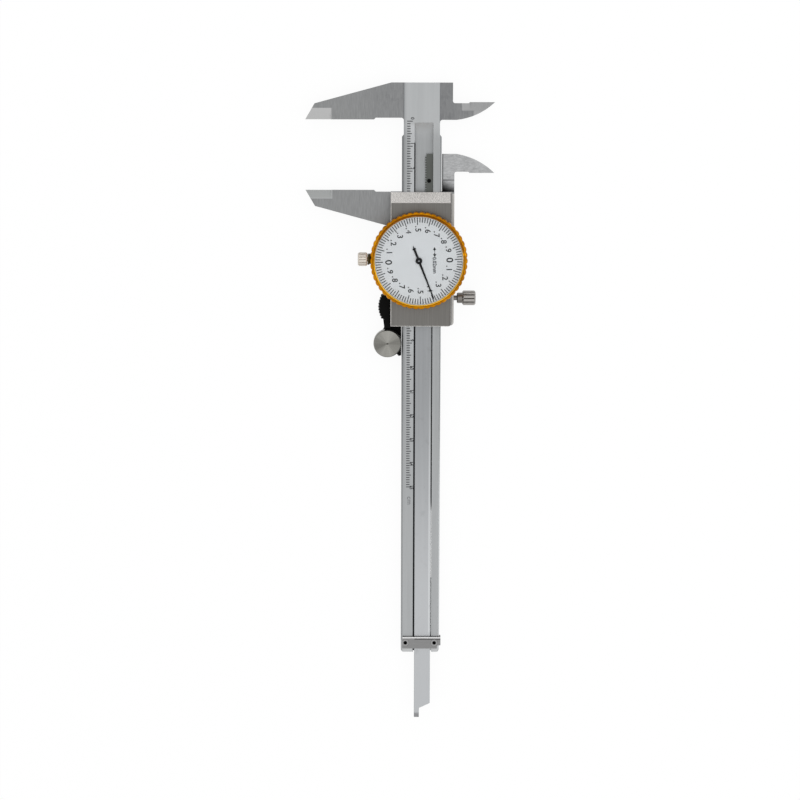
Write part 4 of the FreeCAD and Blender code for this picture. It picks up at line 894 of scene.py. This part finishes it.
def makeRoller():
    low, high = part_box("thumb_roller")
    radius = (high.x - low.x) / 2
    size = named(rollerSize)
    bottom = size.bottom * mm
    bm = bmesh.new()
    profile = [
        (0, low.z), (size.shaft * mm, low.z), (size.shaft * mm, bottom),
        (radius - 0.35 * mm, bottom), (radius - 0.02 * mm, bottom + 0.3 * mm),
        (radius, bottom + 0.6 * mm), (radius, high.z - 1.5 * mm),
        (radius - 0.02 * mm, high.z - 0.9 * mm), (radius - 0.12 * mm, high.z - 0.45 * mm),
        (radius - size.edge * mm, high.z - 0.02 * mm),
        (radius - size.edge * mm - 0.2 * mm, high.z), (size.dimple * mm, high.z - 0.02 * mm),
        (0, high.z - 0.3 * mm)]
    spinProfile(bm, profile, size.knurls * 4)
    # the rim is knurled where the thumb turns it
    for vert in bm.verts:
        reach = math.hypot(vert.co.x, vert.co.y)
        if reach > radius - 0.01 * mm:
            angle = math.atan2(vert.co.y, vert.co.x)
            sink = size.depth * mm * (0.5 - 0.5 * math.cos(angle * size.knurls))
            vert.co.x *= (reach - sink) / reach
            vert.co.y *= (reach - sink) / reach
    bmesh.ops.translate(bm, verts=bm.verts, vec=(*rollerCentre, 0))
    piece = keepPiece(bm, "spun_roller", "roller", "roller", smooth=30)
    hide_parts("thumb_roller")


makeRoller()
print("stage: thumb roller")


# pointer

dialTurn = 2.35     # degrees by which the dial's zero is turned from +X

pointerSize = {"opening": 28.393, "perTurn": 2.0, "length": 16.45, "root": 0.48, "tip": 0.19,
               "tail": 6.45, "tailHalf": 0.42, "neck": 4.6, "spade": 5.2, "spadeHalf": 0.8,
               "hub": 1.34, "cap": 0.26, "thick": 0.13, "bevel": 0.03, "hubTop": 0.45,
               "capSeat": 0.36}


def makePointer():
    size = named(pointerSize)
    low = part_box("pointer")[0]
    half = [(size.length, size.tip), (0, size.root), (-0.2, size.root),
            (-size.neck, size.tailHalf), (-size.spade, size.spadeHalf),
            (-size.tail + 0.9, size.tailHalf * 0.6), (-size.tail, 0.05)]
    bm = bmesh.new()
    upper = [bm.verts.new((x * mm, y * mm, 0)) for x, y in half]
    lower = [bm.verts.new((x * mm, -y * mm, 0)) for x, y in reversed(half)]
    face = bm.faces.new(upper + lower)
    made = bmesh.ops.extrude_face_region(bm, geom=[face])["geom"]
    bmesh.ops.translate(bm, vec=(0, 0, size.thick * mm),
                        verts=[g for g in made if isinstance(g, bmesh.types.BMVert)])
    bmesh.ops.bevel(bm, geom=bm.edges[:], offset=size.bevel * mm, segments=2,
                    profile=0.5, affect="EDGES", clamp_overlap=True, material=-1)
    hub = bmesh.new()
    spinProfile(hub, [(0, 0), (size.hub * mm, 0), (size.hub * mm, 0.32 * mm),
                      (size.hub * mm - 0.15 * mm, size.hubTop * mm),
                      (size.cap * mm + 0.1 * mm, 0.48 * mm),
                      (size.cap * mm, size.capSeat * mm),
                      (0, size.capSeat * mm)], 48)
    hubMesh = bpy.data.meshes.new("hubScratch")
    hub.to_mesh(hubMesh)
    hub.free()
    bm.from_mesh(hubMesh)
    bpy.data.meshes.remove(hubMesh)
    share = (size.opening % size.perTurn) / size.perTurn
    turn = math.radians(dialTurn) - 2 * math.pi * share
    bmesh.ops.rotate(bm, verts=bm.verts, cent=(0, 0, 0), matrix=Matrix.Rotation(turn, 3, "Z"))
    bmesh.ops.translate(bm, verts=bm.verts, vec=(*dialCentre, low.z))
    piece = keepPiece(bm, "black_hand", "pointer", "hand", smooth=35)
    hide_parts("pointer")

    tip = bmesh.new()
    spinProfile(tip, [(0, 0), (size.cap * mm - 0.04 * mm, 0),
                      (size.cap * mm - 0.04 * mm, 0.03 * mm), (0.2 * mm, 0.09 * mm),
                      (0, 0.1 * mm)], 32)
    bmesh.ops.translate(tip, verts=tip.verts, vec=(*dialCentre, low.z + size.capSeat * mm))
    keepPiece(tip, "arbor_tip", "pointer", "pivot", smooth=40)


makePointer()
print("stage: pointer")


# printed and etched marks

def setFlat(bm, verts, x, y, z, turn):
    bmesh.ops.rotate(bm, verts=verts, cent=(0, 0, 0), matrix=Matrix.Rotation(turn, 3, "Z"))
    bmesh.ops.translate(bm, verts=verts, vec=(x * mm, y * mm, z * mm))


def addMark(bm, x, y, z, length, width, turn):
    # one flat stroke, in mm, its length along X before the turn
    made = bmesh.ops.create_grid(bm, x_segments=1, y_segments=1, size=0.5)["verts"]
    bmesh.ops.scale(bm, verts=made, vec=(length * mm, width * mm, 1))
    setFlat(bm, made, x, y, z, turn)


def addDot(bm, x, y, z, radius, corners, turn=0.0):
    # a flat round dot, or with 3 corners an arrow's head that points to +Y before the turn
    made = bmesh.ops.create_circle(bm, cap_ends=True, segments=corners,
                                   radius=radius * mm)["verts"]
    setFlat(bm, made, x, y, z, turn)


digitShare = 0.72    # height of a digit, of the font's own size


def addLabel(bm, text, x, y, z, height, turn, width=1.0, weight=0.0):
    # a number as a flat mesh, centred on x, y; height is that of a digit, in mm
    curve = bpy.data.curves.new("labelScratch", "FONT")
    curve.body = text
    curve.size = height / digitShare
    curve.align_x = "CENTER"
    curve.offset = weight
    curve.resolution_u = 3
    scratch = addObject("labelScratch", curve)
    mesh = bpy.data.meshes.new_from_object(scratch)
    spot = (Matrix.Translation((x * mm, y * mm, z * mm)) @ Matrix.Rotation(turn, 4, "Z")
            @ Matrix.Diagonal((width * mm, mm, mm, 1)) @ Matrix.Translation((0, -height / 2, 0)))
    mesh.transform(spot)
    bm.from_mesh(mesh)
    bpy.data.objects.remove(scratch)
    bpy.data.curves.remove(curve)
    bpy.data.meshes.remove(mesh)


quarter = -math.pi / 2   # labels read from top to bottom of the upright tool

# a number stands over its long line by a lift, that depends on how many digits it has
beamScale = {"zero": -0.65, "left": -5.95, "short": 1.4, "middle": 1.95, "long": 2.25,
             "width": 0.34, "numberX": -3.72, "numberHeight": 1.42, "oneLift": 1.12,
             "twoLift": -0.15, "unitX": -4.45, "unitY": -156.4, "unitHeight": 2.1, "face": 3.8}


def makeBeamScale():
    size = named(beamScale)
    z = size.face + printLift
    bm = bmesh.new()
    for n in range(151):
        length = size.long if n % 10 == 0 else size.middle if n % 5 == 0 else size.short
        addMark(bm, size.left + length / 2, size.zero - n, z, length, size.width, 0)
    keepPiece(bm, "beam_lines", "beam", "scaleInk")
    bm = bmesh.new()
    for n in range(16):
        y = size.zero - 10 * n + (size.oneLift if n < 10 else size.twoLift)
        addLabel(bm, str(n), size.numberX, y, z, size.numberHeight, quarter, 0.95, 0.05)
    keepPiece(bm, "beam_numbers", "beam", "scaleInk")
    bm = bmesh.new()
    addLabel(bm, "cm", size.unitX, size.unitY, z, size.unitHeight, quarter, 1.0, 0.0)
    keepPiece(bm, "beam_unit", "beam", "faintInk")


dialPrint = {"lines": 100, "outer": 17.45, "short": 2.05, "long": 3.0, "width": 0.36,
             "digitRadius": 12.5, "digitHeight": 2.3, "digitShift": (0.25, -0.1),
             "weight": 0.055, "fourWeight": 0.0, "zeroRadius": 12.3, "zeroHeight": 2.75,
             "zeroWidth": 1.08, "zeroWeight": 0.07, "zeroShift": (0.2, -0.15),
             "dotBack": 0.98, "dotSide": 1.4, "dot": 0.27, "arrowX": 6.45,
             "arrows": (4.55, 2.05), "arrow": 0.8, "stem": 0.75, "stemGap": 0.3,
             "stemWidth": 0.38, "noteX": 6.35, "noteY": -2.05, "noteHeight": 1.5,
             "noteWidth": 0.97, "noteWeight": 0.06}
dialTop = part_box("dial_face")[1].z
printLift = 0.012    # mm that ink stands off its ground


def makeDialPrint():
    size = named(dialPrint)
    z = dialTop / mm + printLift

    def finishPrint(bm, name, look):
        # turns the print about the dial's middle, and sets it on the dial
        bmesh.ops.rotate(bm, verts=bm.verts, cent=(0, 0, 0),
                         matrix=Matrix.Rotation(math.radians(dialTurn), 3, "Z"))
        bmesh.ops.translate(bm, verts=bm.verts, vec=(*dialCentre, 0))
        keepPiece(bm, name, "bezel", look)

    bm = bmesh.new()
    for n in range(size.lines):
        turn = -2 * math.pi * n / size.lines
        length = size.long if n % 5 == 0 else size.short
        middle = size.outer - length / 2
        addMark(bm, middle * math.cos(turn), middle * math.sin(turn), z, length, size.width, turn)
    finishPrint(bm, "dial_lines", "lineInk")

    bm = bmesh.new()
    for n in range(20):
        angle = -2 * math.pi * n / 20
        reach = size.digitRadius if n % 10 else size.zeroRadius
        right, up = size.digitShift if n % 10 else size.zeroShift
        x, y = reach * math.cos(angle) + right, reach * math.sin(angle) + up
        if n % 10 == 0:
            addLabel(bm, "0", x, y, z, size.zeroHeight, quarter, size.zeroWidth, size.zeroWeight)
        else:
            # a four keeps its small opening only in a thin line
            weight = size.fourWeight if n % 10 == 4 else size.weight
            addLabel(bm, str(n % 10), x, y, z, size.digitHeight, quarter, 1.0, weight)
            addDot(bm, x - size.dotBack, y + size.dotSide, z, size.dot, 12)
    # two small arrows beside the value of one line
    for lift, way in zip(size.arrows, (1, -1)):
        addDot(bm, size.arrowX, lift, z, size.arrow, 3, 0.0 if way > 0 else math.pi)
        addMark(bm, size.arrowX, lift - way * (size.stemGap + size.stem / 2), z,
                size.stem, size.stemWidth, math.pi / 2)
    finishPrint(bm, "dial_numbers", "ink")
    bm = bmesh.new()
    addLabel(bm, "0.02mm", size.noteX, size.noteY, z, size.noteHeight, quarter,
             size.noteWidth, size.noteWeight)
    finishPrint(bm, "dial_note", "noteInk")


makeBeamScale()
makeDialPrint()
print("stage: scale and dial marks")


# camera, floor and light

cameraSpot = {"focus": (-8.56, -114.25, 3.8), "tilt": 8.98, "away": 848.3, "roll": 0.141,
              "pixels": 2064.0, "picture": 800, "sensor": 36.0}


def makeCamera():
    size = named(cameraSpot)
    data = bpy.data.cameras.new("photoCamera")
    data.sensor_width = size.sensor
    data.lens = size.pixels / size.picture * data.sensor_width
    data.clip_start = 0.01
    data.clip_end = 20
    camera = addObject("photoCamera", data)
    tilt = math.radians(size.tilt)
    focus = Vector(size.focus) * mm
    away = Vector((0, math.sin(tilt), math.cos(tilt))) * size.away * mm
    turn = (Matrix.Rotation(-tilt, 4, "X") @ Matrix.Rotation(math.radians(size.roll), 4, "Z"))
    camera.matrix_world = Matrix.Translation(focus + away) @ turn
    bpy.context.scene.camera = camera


floorLook = {"half": 3.0, "drop": 0.02 * mm, "roughness": 0.9, "low": 0.86, "high": 0.9,
             "glow": 0.93}


def makeFloor():
    look = named(floorLook)
    bm = bmesh.new()
    bmesh.ops.create_grid(bm, x_segments=4, y_segments=4, size=look.half)
    bmesh.ops.translate(bm, verts=bm.verts, vec=(0, 0, cadBox[0].z - look.drop))
    mesh = bpy.data.meshes.new("paleFloor")
    bm.to_mesh(mesh)
    bm.free()
    floor = addObject("paleFloor", mesh)
    finish = Finish("paleFloor", roughness=look.roughness)
    cloud = finish.noise((3, 3, 3), 2.0)
    finish.done(finish.mix((look.low,) * 3 + (1,), (look.high,) * 3 + (1,), cloud))
    seen = 0
    for ray in ("Is Camera Ray", "Is Glossy Ray", "Is Transmission Ray"):
        seen = finish.add("LightPath", out=ray) + seen
    glow = finish.add("Emission", None, {"Color": (1, 1, 1, 1), "Strength": 1.0})
    finish.output(seen.maths("MINIMUM", seen, 1.0) * look.glow, finish.whole(), glow)
    mesh.materials.append(finish.material)


studioLamps = [
    # name, spot in metres, size, power
    ("topPanel", (0.0, -0.3, 1.3), 1.7, 3.2),
    ("sidePanel", (0.9, -0.1, 0.7), 0.6, 1.1),
    ("backPanel", (-0.1, 0.9, 0.45), 0.5, 0.9),
]
lampAim = (0, -0.11, 0)
skyTones = {"horizon": 0.7, "zenith": 1.0}


def makeLight():
    for name, spot, size, power in studioLamps:
        data = bpy.data.lights.new(name, "AREA")
        data.size = size
        data.energy = power
        lamp = addObject(name, data)
        lamp.location = spot
        aim = Vector(lampAim) - Vector(spot)
        lamp.rotation_euler = aim.to_track_quat("-Z", "Y").to_euler()
    world = bpy.data.worlds.new("paleStudio")
    bpy.context.scene.world = world
    world.use_nodes = True
    nodes = Nodes(world.node_tree)
    # greyer towards the horizon, so that round metal shows its shape
    height = nodes.split(nodes.add("TexCoord", out="Generated"))[2].above(-0.1, 1.0)
    low, high = ((skyTones[name],) * 3 + (1,) for name in ("horizon", "zenith"))
    sky = world.node_tree.nodes["Background"]
    nodes.tree.links.new(nodes.mix(low, high, height).socket, sky.inputs["Color"])
    seen = nodes.add("Background", None, {"Color": (1, 1, 1, 1)})
    nodes.output(nodes.add("LightPath", out="Is Camera Ray"),
                 Wire(nodes.tree, sky.outputs[0]), seen)


makeCamera()
makeFloor()
makeLight()
bpy.context.scene.view_settings.view_transform = "Standard"
print("stage: camera, floor and light")
